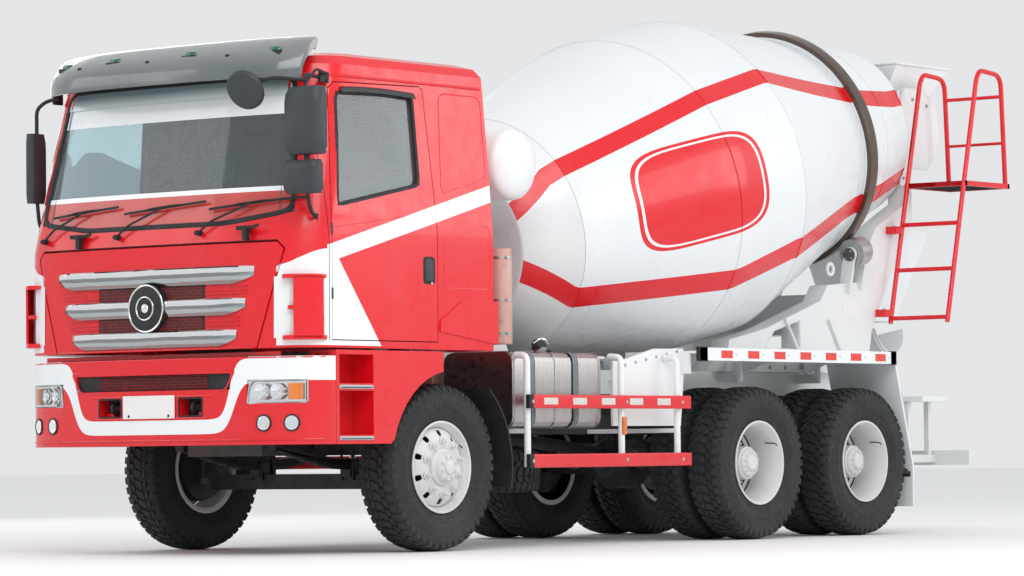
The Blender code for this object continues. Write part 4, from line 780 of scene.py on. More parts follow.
def spare():
    piece = Piece("spare_tread", RUBBER)
    place = Matrix.Translation((0, 1.62, 0.5))
    carcass(piece, place, 0.0)
    piece.use(RIM_WHITE)
    piece.lathe([(-0.118, 0.29), (-0.127, 0.2975), (-0.126, 0.285), (-0.1, 0.268), (-0.03, 0.256), (0.05, 0.256),
                 (0.1, 0.268), (0.126, 0.285), (0.127, 0.2975), (0.118, 0.29)], place, 64)
    piece.lathe([(0.04, 0.256), (0.058, 0.236), (0.045, 0.2), (0.03, 0.18), (0.028, 0.112)], place, 64)
    piece.use(FRAME_WHITE).block(-0.1, 0.1, 1.55, 1.69, 0.53, 0.548)
    piece.use(STEEL).rod((0, 1.62, 0.5), (0, 1.62, 0.6), 0.016)
    piece.use(BLACK).block(-0.39, 0.39, 1.58, 1.66, 0.712, 0.7495)
    piece.block(-0.06, 0.06, 1.59, 1.65, 0.55, 0.715)
    piece.done("chassis", "spare_wheel", slot="tyre_rubber", fix=False)


spare()


# ---------------------------------------------------------------- drum and water tank

def drum():
    place = aim(DRUM_HEAD, DRUM_AXIS)
    piece = Piece("drum_shell", DRUM)
    k = 0.9985
    stations = [(0.0, 0.55), (0.351, 0.824), (1.764, 1.165), (2.559, 1.185), (3.857, 0.8685), (3.957, 0.8318),
                (4.77, 0.678)]
    profile = [(-0.1, 0), (-0.1, 0.17), (-0.02, 0.17), (-0.015, 0.4), (0.0, 0.535), (0.006, 0.548)]
    for (s0, r0), (s1, r1) in zip(stations, stations[1:]):
        steps = 6
        for i in range(1, steps + 1):
            t = i / steps
            s, r = s0 + (s1 - s0) * t, r0 + (r1 - r0) * t
            profile.append((s - (0.004 if i == steps else 0), r * k - (0.001 if i == steps else 0)))
    profile += [(4.768, 0.67 * k), (4.7, 0.676), (3.96, 0.822), (2.559, 1.175), (1.764, 1.155), (0.351, 0.815),
                (0.02, 0.54),
                (0.015, 0)]
    piece.lathe(profile, place, 144)
    for s, r in ((0.351, 0.824), (1.764, 1.165), (2.559, 1.185), (4.35, 0.757)):
        piece.pipe(circle(place, r * k, s, 120), 0.0035, 6, loop=True)
    piece.lathe([(3.857, 0.86), (3.857, 0.915), (3.861, 0.9157), (3.953, 0.9157), (3.957, 0.915), (3.957, 0.825)],
                place, 144)
    # rolled rim at the mouth and the two mixing spirals inside it
    piece.pipe(circle(place, 0.676, 4.762, 80), 0.006, 8, loop=True)
    for start in (0.0, pi):
        rows = []
        for i, s in enumerate(spread(3.2, 4.7, 60)):
            r = between([(2.559, 1.175), (3.857, 0.858), (3.957, 0.82), (4.77, 0.666)], s)
            t = start + i / 60 * 2 * pi * 0.8
            rows.append([place @ Vector((q * cos(t), q * sin(t), s)) for q in (r, r - 0.24)])
        piece.use(CAST).sheet(rows)
    # inspection hatch with its ring of bolts, on the side away from the panel
    piece.use(DRUM)
    spot = (place @ Matrix.Rotation(rad(-35), 4, "Z") @ Matrix.Translation((1.176 * k, 0, 2.16))
            @ Matrix.Rotation(pi / 2, 4, "Y"))
    piece.lathe([(-0.004, 0.25), (0.004, 0.25), (0.006, 0.246), (0.006, 0.0)], spot, 40)
    for at in circle(spot, 0.222, 0.005, 12):
        piece.bolt(at, spot.to_3x3() @ Vector((0, 0, 1)), 0.008, 0.006)
    piece.done("drum", "mixing_drum", slot="body_white", sharp=12, fix=False)


def water_tank():
    low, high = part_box("water_tank")
    cy, cz = middle("water_tank").y - HOME.y, middle("water_tank").z
    half, r = (high.x - low.x) / 2, (high.z - low.z) / 2
    piece = Piece("water_tank_shell", WHITE)
    place = aim((0, cy, cz), (1, 0, 0))
    profile = [(-half, 0.0)] + [(-half + 0.1 * (1 - cos(pi / 2 * i / 8)),
                                 (r - 0.002) * sin(pi / 2 * i / 8)) for i in range(1, 9)]
    profile += [(-h, rr) for h, rr in profile[::-1]]
    piece.lathe(profile, place, 72)
    for x in (-0.86, -0.3, 0.3, 0.86):
        piece.pipe(circle(place, r - 0.003, x, 80), 0.003, 6, loop=True)
    for x in (-0.48, 0.48):
        piece.use(STEEL).lathe([(x - 0.025, r - 0.004), (x - 0.024, r - 0.0012), (x + 0.024, r - 0.0012),
                                (x + 0.025, r - 0.004)], place, 72)
    piece.use(WHITE).rod((0.0, cy + 0.1, cz + r - 0.06), (0.0, cy + 0.1, cz + r - 0.002), 0.05)
    piece.use(STEEL).tube([(0.7, cy + 0.02, cz - r + 0.02), (0.7, cy + 0.02, cz - r - 0.1),
                           (0.42, cy + 0.06, cz - r - 0.4),
                           (0.44, cy + 0.06, 1.3)], 0.014, 10, 0.08)
    piece.done("chassis", "water_tank", slot="body_white")


drum()
water_tank()


# ---------------------------------------------------------------- front of the cab

def outline_on_front(outline, out, reach=0.06, count=120):
    return [front_point(p.x, p.y, out) for p in evenly(rounded(outline, reach, 6), count - 1)]


SHIELD = [(-1.08, 2.13), (-0.6, 2.068), (0.6, 2.068), (1.08, 2.13), (0.968, 2.985), (-0.968, 2.985)]


def shield_half(z):
    return 1.08 - (z - 2.13) / (2.985 - 2.13) * 0.112


def film(name, look, low, high, out=-0.0065, inset=0.022):
    """A band that lies on the windshield between two heights, given as functions of x; printed, except the header
    sheet, whose colour is painted shade.
    """
    piece = Piece(name, look)
    rows = []
    for i in range(41):
        u = -1 + 2 * i / 40
        row = []
        for k in range(5):
            z = low(u) + (high(u) - low(u)) * k / 4
            row.append(front_point(u * (shield_half(z) - inset), z, out))
        rows.append(row)
    piece.sheet(rows)
    return piece.done("cab")


def bottom(u):
    x = abs(u) * 1.06
    return 2.083 + max(0.0, x - 0.6) / 0.48 * 0.062


film("windshield_top_band", BAND_WHITE, lambda u: 2.748, lambda u: 2.868)
# The header sheet is painted shade, not print.
film("windshield_header_painted_shade", BAND_SHADE, lambda u: 2.866, lambda u: 2.982, 0.0015)
film("windshield_line", BAND_WHITE, lambda u: 2.262, lambda u: 2.292)
film("windshield_low_band", BAND_RED, bottom, lambda u: 2.262)


def shield_trim():
    seal = Piece("windshield_seal", SEAL)
    path = outline_on_front(SHIELD, -0.002, 0.09, 160)
    rows = []
    for i, p in enumerate(path):
        heading = (path[(i + 1) % len(path)] - path[i - 1]).normalized()
        normal = (front_point(p.x, p.z, 0.02) - front_point(p.x, p.z, 0)).normalized()
        side = heading.cross(normal)
        rows.append([p + side * a + normal * b for a, b in ((-0.02, -0.008), (-0.017, 0.005), (-0.004, 0.008),
                                                            (0.012, 0.006), (0.019, -0.004), (0.006, -0.012))])
    seal.loft(rows, loop=True, caps=False)
    seal.done("cab")
    wipers = Piece("wipers", SEAL)
    for x, tip, blade in ((-0.99, 0.36, 0.3), (-0.3, 0.38, 0.34), (0.4, 0.4, 0.34)):
        foot = front_point(x, 2.01, 0.012)
        knee = front_point(x + 0.1, 2.075, 0.04)
        elbow = front_point(x + tip, 2.185, 0.034)
        wipers.rod(foot - Vector((0, -0.03, 0)), foot + Vector((0, -0.028, 0.004)), 0.019, 0.016)
        wipers.ball(foot + Vector((0, -0.028, 0.004)), 0.016, (0, -1, 0.3), 0.7, part=0.5)
        wipers.tube([foot + Vector((0, -0.018, 0)), knee, elbow], 0.0075, 8, 0.03)
        mids = [front_point(x + tip + d, 2.185 + d * 0.075,
                            0.017) for d in [-blade + 2 * blade * i / 12 for i in range(13)]]
        wipers.loft([[p + Vector((0, -a, b)) for a, b in ((-0.006, -0.004), (0.006, -0.008), (0.01, 0.0),
                (0.006, 0.008), (-0.006, 0.004))]
                     for p in mids])
        for d in (-blade * 0.5, blade * 0.5):
            a = front_point(x + tip + d, 2.185 + d * 0.075, 0.024)
            wipers.tube([a, front_point(x + tip + d * 0.5, 2.187 + d * 0.04, 0.036),
                         front_point(x + tip, 2.187, 0.036)], 0.005, 6, 0.02)
    for x in (-0.63, 0.8):
        wipers.block(x - 0.015, x + 0.015, -1.492, -1.455, 1.955, 2.035, 0.004)
        wipers.block(x - 0.075, x + 0.03, -1.482, -1.44, 2.02, 2.045, 0.005)
        wipers.rod((x + 0.03, -1.475, 2.03), (x + 0.1, -1.47, 2.045), 0.01)
    wipers.done("cab")


shield_trim()


def visor():
    """Smoked sun visor: one swept shell with a rolled lower lip, four marker lamps and clips."""
    section = [(-1.165, 3.138), (-1.2, 3.15), (-1.3, 3.12), (-1.4, 3.07), (-1.485, 3.015), (-1.508, 2.975),
               (-1.513, 2.933),
               (-1.535, 2.933), (-1.5365, 2.985), (-1.52, 3.04), (-1.44, 3.11), (-1.32, 3.18), (-1.22, 3.208),
               (-1.12, 3.221), (-1.105, 3.2)]
    plan = [(0.0, 0.0), (0.22, 0.003), (0.45, 0.012), (0.65, 0.036), (0.8, 0.075), (0.9, 0.118), (0.98, 0.17),
            (1.03, 0.216),
            (1.07, 0.265), (1.09, 0.302), (1.103, 0.345)]
    piece = Piece("visor_shell", SMOKE)
    rows, lift = [], 0.025
    for i in range(61):
        u = -1 + 2 * i / 60
        x = 1.075 * sin(u * pi / 2 * 0.999)
        back = between(plan, abs(x))
        far = max(0.0, (abs(x) - 0.82) / 0.255)
        shut = 1.0 - 0.62 * far ** 2
        rows.append([(x, -1.53 + (y + 1.53) * shut + back, 2.93 + lift + (z - 2.93) * (1.0 - 0.1 * far ** 3)) for y,
                     z in section])
    piece.loft(rows)
    piece.done("cab", "sun_visor", slot="visor_smoke", sharp=50)
    lamps = Piece("marker_lamps", BLACK)
    for x in (-0.87, -0.36, 0.3, 0.9):
        y = -1.44 + between(plan, abs(x)) + 0.015
        z = 3.128
        lamps.use(SEAL).block(x - 0.06, x + 0.06, y - 0.022, y + 0.04, z - 0.018, z + 0.008, 0.006)
        lamps.use(GREEN)
        lamps.loft([[(x + a * 0.05 * g, y + 0.006 + b * 0.024 * g, z + h) for a, b in
                     [(cos(t * pi / 8), sin(t * pi / 8)) for t in range(16)]] for g, h in ((1, 0.006), (0.98, 0.02),
                             (0.8, 0.03), (0.4, 0.034))])
    for x in (-0.66, -0.03, 0.62):
        y = -1.47 + between(plan, abs(x)) + 0.01
        lamps.use(SEAL).block(x - 0.01, x + 0.01, y - 0.014, y + 0.016, 3.078, 3.121, 0.003)
        lamps.rod((x - 0.022, y, 3.108), (x + 0.022, y, 3.108), 0.007)
        lamps.bolt((x, y - 0.01, 3.087), (0, -1, 0.4), 0.008)
    lamps.use(SMOKE)
    for s in (-1, 1):
        lamps.block(s * 0.62, s * 0.7, -1.1, -0.935, 3.1503, 3.2, 0.006)
    lamps.done("cab")


visor()


def mirrors():
    def head(piece, section, z0, z1, crown, point, soft):
        """A housing crowned at the front; point(across, depth, z) places its section."""
        rows = []
        for t in spread(0, 1, 8):
            narrow, bulge = 1.0 - (2 * t - 1) ** 8 * 0.1, 1.0 - (2 * t - 1) ** 6 * crown
            rows.append([point(a * narrow, b * bulge, z0 + (z1 - z0) * t) for a, b in section])
        piece.soften(piece.loft(rows), soft, 3, 50)

    wide = ((-0.94, 0.0), (0.94, 0.0), (1.0, 0.12), (1.0, 0.55), (0.92, 0.82), (0.7, 0.96), (0.35, 1.0),
            (-0.35, 1.0), (-0.7, 0.96), (-0.92, 0.82), (-1.0, 0.55), (-1.0, 0.12))
    slim = ((-0.94, 0.0), (0.94, 0.0), (1.0, 0.12), (1.0, 0.55), (0.85, 0.9), (0.5, 1.0), (-0.5, 1.0), (-0.85, 0.9),
            (-1.0, 0.55), (-1.0, 0.12))
    left = Piece("mirror_set_left", PLASTIC)
    head(left, wide, 2.462, 2.878, 0.3, lambda a, b, z: (1.28 + a * 0.138, -1.402 - 0.126 * b, z), 0.01)
    head(left, wide, 2.222, 2.428, 0.3, lambda a, b, z: (1.265 + a * 0.133, -1.422 - 0.106 * b, z), 0.01)
    left.use(SEAL)
    left.tube([(1.27, -1.44, 2.25), (1.27, -1.44, 2.92), (1.2, -1.36, 2.965), (1.125, -1.15, 2.965)], 0.0125, 12,
              0.06)
    left.tube([(1.27, -1.44, 2.26), (1.25, -1.38, 2.12), (1.175, -1.225, 2.08)], 0.0125, 12, 0.06)
    left.tube([(1.27, -1.44, 2.92), (1.1, -1.55, 2.94), (0.98, -1.6, 2.9)], 0.0115, 12, 0.05)
    left.tube([(1.27, -1.44, 2.9), (1.235, -1.3, 3.0), (1.16, -1.12, 2.99)], 0.009, 10, 0.04)
    left.block(1.14, 1.158, -1.17, -1.09, 2.93, 3.0, 0.004).bolt((1.158, -1.15, 2.985), (1, 0, 0),
            0.008).bolt((1.158, -1.11, 2.945), (1, 0, 0), 0.008)
    left.block(1.165, 1.2, -1.26, -1.18, 2.04, 2.11, 0.008).block(1.15, 1.19, -1.275, -1.175, 2.015, 2.045, 0.006)
    left.rod((1.3, -1.46, 2.42), (1.3, -1.46, 2.47), 0.014).rod((1.2, -1.46, 2.42), (1.2, -1.46, 2.47), 0.014)
    place = aim((0.93, -1.627, 2.86), (-0.15, 0.9, 0.45))
    left.use(PLASTIC).lathe([(0.0, 0), (0.0, 0.112), (0.004, 0.119), (0.014, 0.127), (0.03, 0.1285), (0.042, 0.121),
                             (0.056, 0.1),
                             (0.066, 0.07), (0.073, 0.035), (0.075, 0)], place, 48)
    left.use(CHROME).block(1.155, 1.405, -1.4025, -1.4005, 2.48, 2.86, 0.0008).block(1.145, 1.385, -1.4225, -1.4205,
            2.235, 2.415, 0.0008)
    left.done("cab", "mirror_left", slot="trim_plastic", sharp=40)
    right = Piece("mirror_set_right", PLASTIC)
    head(right, slim, 2.282, 2.738, 0.2, lambda a, b, z: (-1.264 + 0.067 * b, -1.245 + a * 0.069, z), 0.008)
    right.use(SEAL)
    right.tube([(-1.23, -1.245, 2.72), (-1.23, -1.245, 2.9), (-1.19, -1.19, 2.955), (-1.125, -1.15, 2.965)], 0.0125,
               12, 0.05)
    right.tube([(-1.23, -1.245, 2.3), (-1.22, -1.235, 2.14), (-1.175, -1.225, 2.08)], 0.0125, 12, 0.05)
    right.block(-1.158, -1.14, -1.17, -1.09, 2.93, 3.0, 0.004)
    right.block(-1.2, -1.165, -1.26, -1.18, 2.04, 2.11, 0.008)
    right.use(CHROME).block(-1.2648, -1.263, -1.3, -1.19, 2.3, 2.72, 0.0006)
    right.done("cab", "mirror_right", slot="trim_plastic", sharp=40)


mirrors()


def hex_mesh(piece, x0, x1, z0, z1, depth, cell=0.024, wire=0.2):
    """A sheet of hexagonal openings; depth(x, z) gives a point on it."""
    row, z = 0, z0
    while z < z1:
        x = x0 + (cell / 2 if row % 2 else 0)
        while x < x1:
            ring = [(x + cell / math.sqrt(3) * f * sin(pi / 3 * k), z + cell / math.sqrt(3) * f * cos(pi / 3 * k))
                    for f in (1.0, 1.0 - wire) for k in range(6)]
            piece.faces([depth(u, v) for u, v in ring],
                        [(k, (k + 1) % 6, 6 + (k + 1) % 6, 6 + k) for k in range(6)])
            x += cell
        z += cell * math.sqrt(3) / 2
        row += 1


def hood_trim():
    # The bars take the chrome look whose reflections are painted into its colour.
    bars = Piece("hood_bars", REFLECTION_PAINTED_CHROME)
    for half, low, high in ((0.84, 1.69, 1.8), (0.775, 1.497, 1.602), (0.705, 1.305, 1.408)):
        rows = []
        for i in range(49):
            u = -1 + 2 * i / 48
            x = half * u
            edge = max(0.0, (abs(u) - 0.8) / 0.2)
            z0, z1 = low + (high - low) * 0.45 * edge ** 1.6, high - 0.004 * edge
            out = 0.036 * (1 - edge ** 3) + 0.006
            mid = z0 + (z1 - z0) * 0.4
            rows.append([front_point(x, z0 + 0.004, 0.001), front_point(x, z0, out * 0.35),
                         front_point(x, mid - 0.006, out * 0.92),
                         front_point(x, mid + 0.006, out), front_point(x, z1 - 0.01, out * 0.86), front_point(x, z1,
                                 out * 0.6),
                         front_point(x, z1 - 0.003, 0.001)])
        bars.loft(rows)
    bars.done("hood", sharp=30)
    nest = Piece("hood_mesh", MESH_RED)
    for low, high in ((1.61, 1.69), (1.415, 1.497)):
        hex_mesh(nest, -0.44, 0.44, low, high, lambda x, z: front_point(x, z, 0.003), 0.0215)
    nest.done("hood", thick=0.003, fix=False, sharp=80)
    back = Piece("hood_grille_recess", SEAL)
    for low, high, half in ((1.606, 1.694, 0.455), (1.411, 1.501, 0.455)):
        back.sheet([[front_point(x, low, 0.0012), front_point(x, high,
                0.0012)] for x in [-half + 2 * half * i / 20 for i in range(21)]])
    back.use(RED)
    for low, high, half in ((1.606, 1.694, 0.79), (1.411, 1.501, 0.73)):
        for s in (-1, 1):
            for z in (low + 0.022, (low + high) / 2, high - 0.02):
                back.pipe([front_point(s * x, z, 0.004) for x in [0.46 + (half - 0.46) * i / 8 for i in range(9)]],
                          0.0045, 6)
    back.done("hood")
    badge = Piece("hood_badge", BLACK)
    at = front_point(0, 1.553, 0.0)
    tilt = Vector((0, -1, 0.015))
    place = aim(at, tilt)
    badge.use(SEAL).lathe([(0.0, 0.15), (0.04, 0.152), (0.046, 0.146), (0.05, 0.128), (0.056, 0.06), (0.058, 0.0)],
                          place, 64)
    badge.use(CHROME)
    for r, h, w in ((0.146, 0.046, 0.006), (0.072, 0.056, 0.005)):
        badge.pipe(circle(place, r, h, 64), w, 8, loop=True)
    badge.ball(place @ Vector((0, 0, 0.054)), 0.03, tilt, 0.5, 24, part=0.5)
    badge.done("hood")
    lip = Piece("hood_edges", RED)
    lip.pipe([front_point(x, 1.291, 0.004) for x in spread(-0.84, 0.84, 30)], 0.007, 8)
    lip.done("hood")


hood_trim()


def vanes():
    """Corner deflectors: a hollow vane stands off each front corner over a white backing."""
    piece = Piece("corner_vanes", RED)
    path = [(1.11, -1.455), (1.15, -1.432), (1.19, -1.395), (1.222, -1.35), (1.241, -1.29), (1.2445, -1.255)]
    inner = [(1.145, -1.418), (1.178, -1.384), (1.207, -1.342), (1.224, -1.288), (1.228, -1.258)]
    low, high = 1.345, 1.725
    made = piece.loft([[(*p, low), (*p, high), (*q, high - 0.004), (*q, low + 0.004)]
                              for p, q in zip(path[1:], inner)])
    piece.soften(made, 0.006, 3, 50)
    for z0, z1 in ((low - 0.012, low + 0.016), (high - 0.014, high + 0.012)):
        shelf = [(1.03, -1.395), (1.055, -1.428)] + path + [(1.2445, -1.225), (1.16, -1.225)]
        piece.slab("Z", shelf, z0, z1, 0.004)
    piece.slab("Z", [(1.085, -1.4), (1.1, -1.43), (1.146, -1.425), (1.17, -1.39), (1.13, -1.36)], 1.52, 1.545,
               0.003)
    piece.use(WHITE)
    piece.sheet([[front_point(x, z, 0.0025) for z in (low, high)] for x in spread(0.985, 1.185, 10)])
    piece.mirrored().done("cab")


vanes()


# ---------------------------------------------------------------- bumper and lamps

BUMPER_PLAN = ((0.0, -1.5), (0.42, -1.494), (0.78, -1.464), (1.0, -1.415), (1.12, -1.365), (1.2, -1.3),
               (1.245, -1.215))


def bumper_point(x, z, out=0.0):
    y = between(BUMPER_PLAN, abs(x))
    slope = (between(BUMPER_PLAN, abs(x) + 0.01) - between(BUMPER_PLAN, abs(x) - 0.01)) / 0.02
    normal = Vector((slope * (1 if x > 0 else -1), -1, 0)).normalized()
    return Vector((x, y, z)) + normal * out


def bumper_trim():
    lamps = Piece("headlamps", CHROME)
    for s in (-1, 1):
        xs = spread(0.8, 1.16, 12)
        # bright bowl behind, reflectors, then a clear lens over them
        lamps.use(CHROME)
        lamps.sheet([[bumper_point(s * x, z, -0.002 - 0.034 * min(1.0, i / 2, (12 - i) / 2)) for z in spread(0.95,
                1.086, 6)]
                    for i, x in enumerate(xs)])
        for x, r in ((0.875, 0.047), (0.985, 0.047)):
            at = bumper_point(s * x, 1.018, -0.034)
            out = (bumper_point(s * x, 1.018, 1) - bumper_point(s * x, 1.018, 0))
            lamps.use(CHROME).lathe([(0.0, 0.01), (0.002, 0.02), (0.008, 0.032), (0.018, r), (0.022, r + 0.004),
                                     (0.018, r + 0.006)],
                                    aim(at, out), 32)
            lamps.use(LENS).ball(at + out * 0.004, 0.016, out, 0.9, 16, part=0.5)
        lamps.use(AMBER)
        lamps.sheet([[bumper_point(s * x, z, 0.001 + 0.004 * sin(pi * (x - 1.06) / 0.1)) for z in spread(0.968,
                1.068, 6)]
                    for x in spread(1.062, 1.147, 8)])
        lamps.use(LENS)
        lamps.sheet([[bumper_point(s * x, z, 0.004 - 0.002 * abs(2 * k / 6 - 1) ** 3) for k,
                      z in ((k, 0.952 + 0.132 * k / 6) for k in range(7))]
                    for x in xs])
        ring = rounded([(0.792, 0.946), (1.168, 0.95), (1.168, 1.086), (0.83, 1.088), (0.806, 1.05)], 0.014, 4)
        lamps.use(GREY_PAINT).pipe([bumper_point(s * u, v, 0.001) for u, v in ring], 0.0055, 8, loop=True)
        for x in (0.905, 1.085):
            at = bumper_point(s * x, 0.824, 0)
            out = (bumper_point(s * x, 0.824, 1) - at)
            lamps.use(SEAL).lathe([(-0.01, 0.054), (0.008, 0.053), (0.0105, 0.049), (0.008, 0.0435), (-0.01, 0.04)],
                                  aim(at, out), 32)
            lamps.use(CHROME).lathe([(0.0075, 0.044), (0.0058, 0.03), (0.005, 0.012), (0.0075, 0.0)], aim(at, out),
                                    32)
            lamps.use(LENS).ball(at + out * 0.006, 0.043, out, 0.16, 28, part=0.5)
    lamps.done("chassis", fix=False)
    trim = Piece("bumper_inserts", RED)
    frame_line = rounded([(-0.7, 1.155), (-0.62, 1.03), (0.62, 1.03), (0.7, 1.155)], 0.03, 4)
    trim.pipe([bumper_point(u, v, 0.0) for u, v in frame_line], 0.006, 8, loop=True)
    for low, half in ((0.862, 0.49), (0.998, 0.52)):
        trim.pipe([bumper_point(-half + 2 * half * i / 24, low, 0.0) for i in range(25)], 0.006, 8)
    trim.use(SEAL).sheet([[Vector((x, -1.4575, z)) for z in (1.036, 1.134)] for x in (-0.655, 0.655)])
    for s in (-1, 1):
        trim.use(SEAL)
        trim.sheet([[Vector((x, -1.404, z)) for z in (0.87, 0.99)] for x in (s * 0.24, s * 0.45)])
        ring = rounded([(0.248, 0.873), (0.442, 0.873), (0.442, 0.987), (0.248, 0.987)], 0.012, 3)
        trim.pipe([bumper_point(s * u, v, -0.001) for u, v in ring], 0.006, 8, loop=True)
        trim.use(BLACK).tube([(s * 0.345, -1.42, 0.9), (s * 0.345, -1.47, 0.905), (s * 0.345, -1.48, 0.93),
                              (s * 0.345, -1.47, 0.955),
                              (s * 0.345, -1.42, 0.96)], 0.011, 10, 0.02)
    trim.use(PLATE).block(-0.22, 0.22, -1.5085, -1.5035, 0.862, 1.006, 0.0015)
    trim.use(SEAL)
    for x in (-0.17, 0.17):
        trim.bolt((x, -1.508, 0.878), (0, -1, 0), 0.006)
    trim.use(BLACK).block(-1.0, 1.0, -1.383, -1.377, 1.19, 1.24, 0.002)
    trim.use(RED).block(-1.0, 1.0, -1.386, -1.378, 1.24, 1.266, 0.002)
    trim.pipe([bumper_point(-1.235 + 2.47 * i / 60, 0.722, 0.001) for i in range(61)], 0.007, 8)
    trim.pipe([bumper_point(-1.235 + 2.47 * i / 60, 1.228, -0.004) for i in range(61)], 0.006, 8)
    trim.done("chassis", fix=False)
    nest = Piece("bumper_mesh", MESH_RED)
    hex_mesh(nest, -0.46, 0.46, 1.045, 1.13, lambda x, z: Vector((x, -1.462, z)), 0.0215)
    nest.done("chassis", thick=0.003, fix=False, sharp=80)


bumper_trim()


def steps():
    piece = Piece("step_treads", GREY_PAINT)
    for z, y0, y1 in ((1.046, -1.118, -0.8), (0.728, -1.118, -0.8)):
        piece.use(GREY_PAINT).block(1.045, 1.253, y0, y1, z - 0.014, z + 0.01, 0.004)
        for i in range(8):
            x = 1.062 + i * 0.0235
            for k in range(10):
                y = y0 + 0.022 + k * (y1 - y0 - 0.04) / 9
                piece.block(x - 0.007, x + 0.007, y - 0.01, y + 0.01, z + 0.009, z + 0.0135, 0.0)
        piece.use(SEAL).block(1.23, 1.2545, y0 + 0.01, y1 - 0.01, z - 0.009, z - 0.003, 0.001)
    piece.use(SEAL)
    piece.mirrored().done("chassis", fix=False)
    arc = Piece("mudguard_arcs", SEAL)
    arc_rows = []
    for i in range(15):
        t = rad(50 - 62 * i / 14)
        arc_rows.append([(x, 0.655 * cos(t) + (0.012 if r else 0), HUB_Z + 0.655 * sin(t)) for x,
                         r in ((0.86, 0), (1.2, 0), (1.2, 1), (0.86, 1))])
    arc.soften(arc.loft(arc_rows), 0.003)
    arc.mirrored().done("chassis")


steps()


# ---------------------------------------------------------------- doors and cab side

WINDOW = [(-1.1, 2.165), (-0.285, 2.325), (-0.29, 2.905), (-1.03, 2.885)]


def doors():
    for side, word in ((1, "left"), (-1, "right")):
        body = f"door_{word}"
        piece = Piece(f"door_trim_{word}", SEAL)
        ring = rounded(WINDOW, 0.05, 6)
        path = [side_point(p.x, p.y, side, -0.004) for p in evenly(ring, 89)]
        rows = []
        for i, p in enumerate(path):
            heading = (path[(i + 1) % len(path)] - path[i - 1]).normalized()
            across = heading.cross(Vector((side, 0, 0.1))).normalized()
            rows.append([p + across * a + Vector((side * b, 0, 0)) for a,
                         b in ((-0.016, -0.008), (-0.014, 0.003), (-0.002, 0.006),
                                                                                (0.012, 0.003), (0.014, -0.008))])
        piece.loft(rows, loop=True, caps=False)
        # recessed grip with its pull handle
        piece.use(SEAL).slab("X", rounded([(-0.285, 1.7), (-0.165, 1.7), (-0.165, 1.875), (-0.285, 1.875)], 0.03),
                             side * 1.2345, side * 1.24, 0.002)
        piece.use(PLASTIC).slab("X", rounded([(-0.262, 1.72), (-0.188, 1.72), (-0.188, 1.86), (-0.262, 1.86)],
                0.02), side * 1.2385, side * 1.243, 0.002)
        piece.use(CHROME).rod((side * 1.2395, -0.2, 1.705), (side * 1.2435, -0.2, 1.705), 0.008)
        # pressed crease and the rain guard over the glass
        piece.use(CAB_RED)
        piece.pipe([side_point(-1.14 + 0.96 * i / 16, 2.03 + 0.125 * i / 16, side, -0.0035) for i in range(17)],
                   0.005, 6)
        piece.use(PLASTIC)
        piece.loft([[side_point(y, 2.915 + 0.012 * sin(pi * i / 20), side, 0.004),
                     side_point(y, 2.88 + 0.012 * sin(pi * i / 20), side, 0.022),
                     side_point(y, 2.878 + 0.012 * sin(pi * i / 20), side, 0.019)]
                    for i, y in enumerate(spread(-1.0, -0.28, 20))])
        for z in (1.62, 2.02):
            piece.rod((side * 1.232, -1.165, z - 0.035), (side * 1.232, -1.165, z + 0.035), 0.011)
        piece.done(body)
    quarter = Piece("cab_side_trim", CAB_RED)
    ring = rounded([(-0.075, 2.28), (0.395, 2.4), (0.395, 2.93), (-0.03, 2.93)], 0.06, 6)
    quarter.pipe([side_point(p.x, p.y, 1, -0.0035) for p in evenly(ring, 69)], 0.006, 6, loop=True)
    ring = rounded([(-0.075, 1.68), (0.395, 1.68), (0.395, 2.1), (-0.075, 1.98)], 0.05, 6)
    quarter.pipe([side_point(p.x, p.y, 1, -0.004) for p in evenly(ring, 69)], 0.006, 6, loop=True)
    quarter.pipe([side_point(-1.15 + 1.55 * i / 20, 2.985, 1, 0.002) for i in range(21)], 0.009, 8)
    quarter.use(SEAL).block(1.2435, 1.2449, 0.345, 0.425, 1.465, 1.515, 0.0005)
    quarter.use(AMBER).ball((1.2435, 0.385, 1.49), 0.019, (1, 0, 0), 0.07, 20, part=0.5)
    quarter.use(BLACK)
    for z in (1.4, 1.44):
        quarter.rod((0.4, 0.44, z - 0.02), (0.6, 0.44, z - 0.02), 0.02)
    quarter.mirrored().done("cab")
    seams = Piece("cab_seams", SEAL)
    for s in (-1, 1):
        seams.pipe([side_point(-1.195, 1.33 + 1.55 * i / 20, s, 0.0002) for i in range(21)], 0.0022, 6)
    seams.pipe([front_point(-1.0 + 2.0 * i / 40, 1.952, 0.0002) for i in range(41)], 0.0025, 6)
    seams.done("cab")


doors()


# ---------------------------------------------------------------- seats

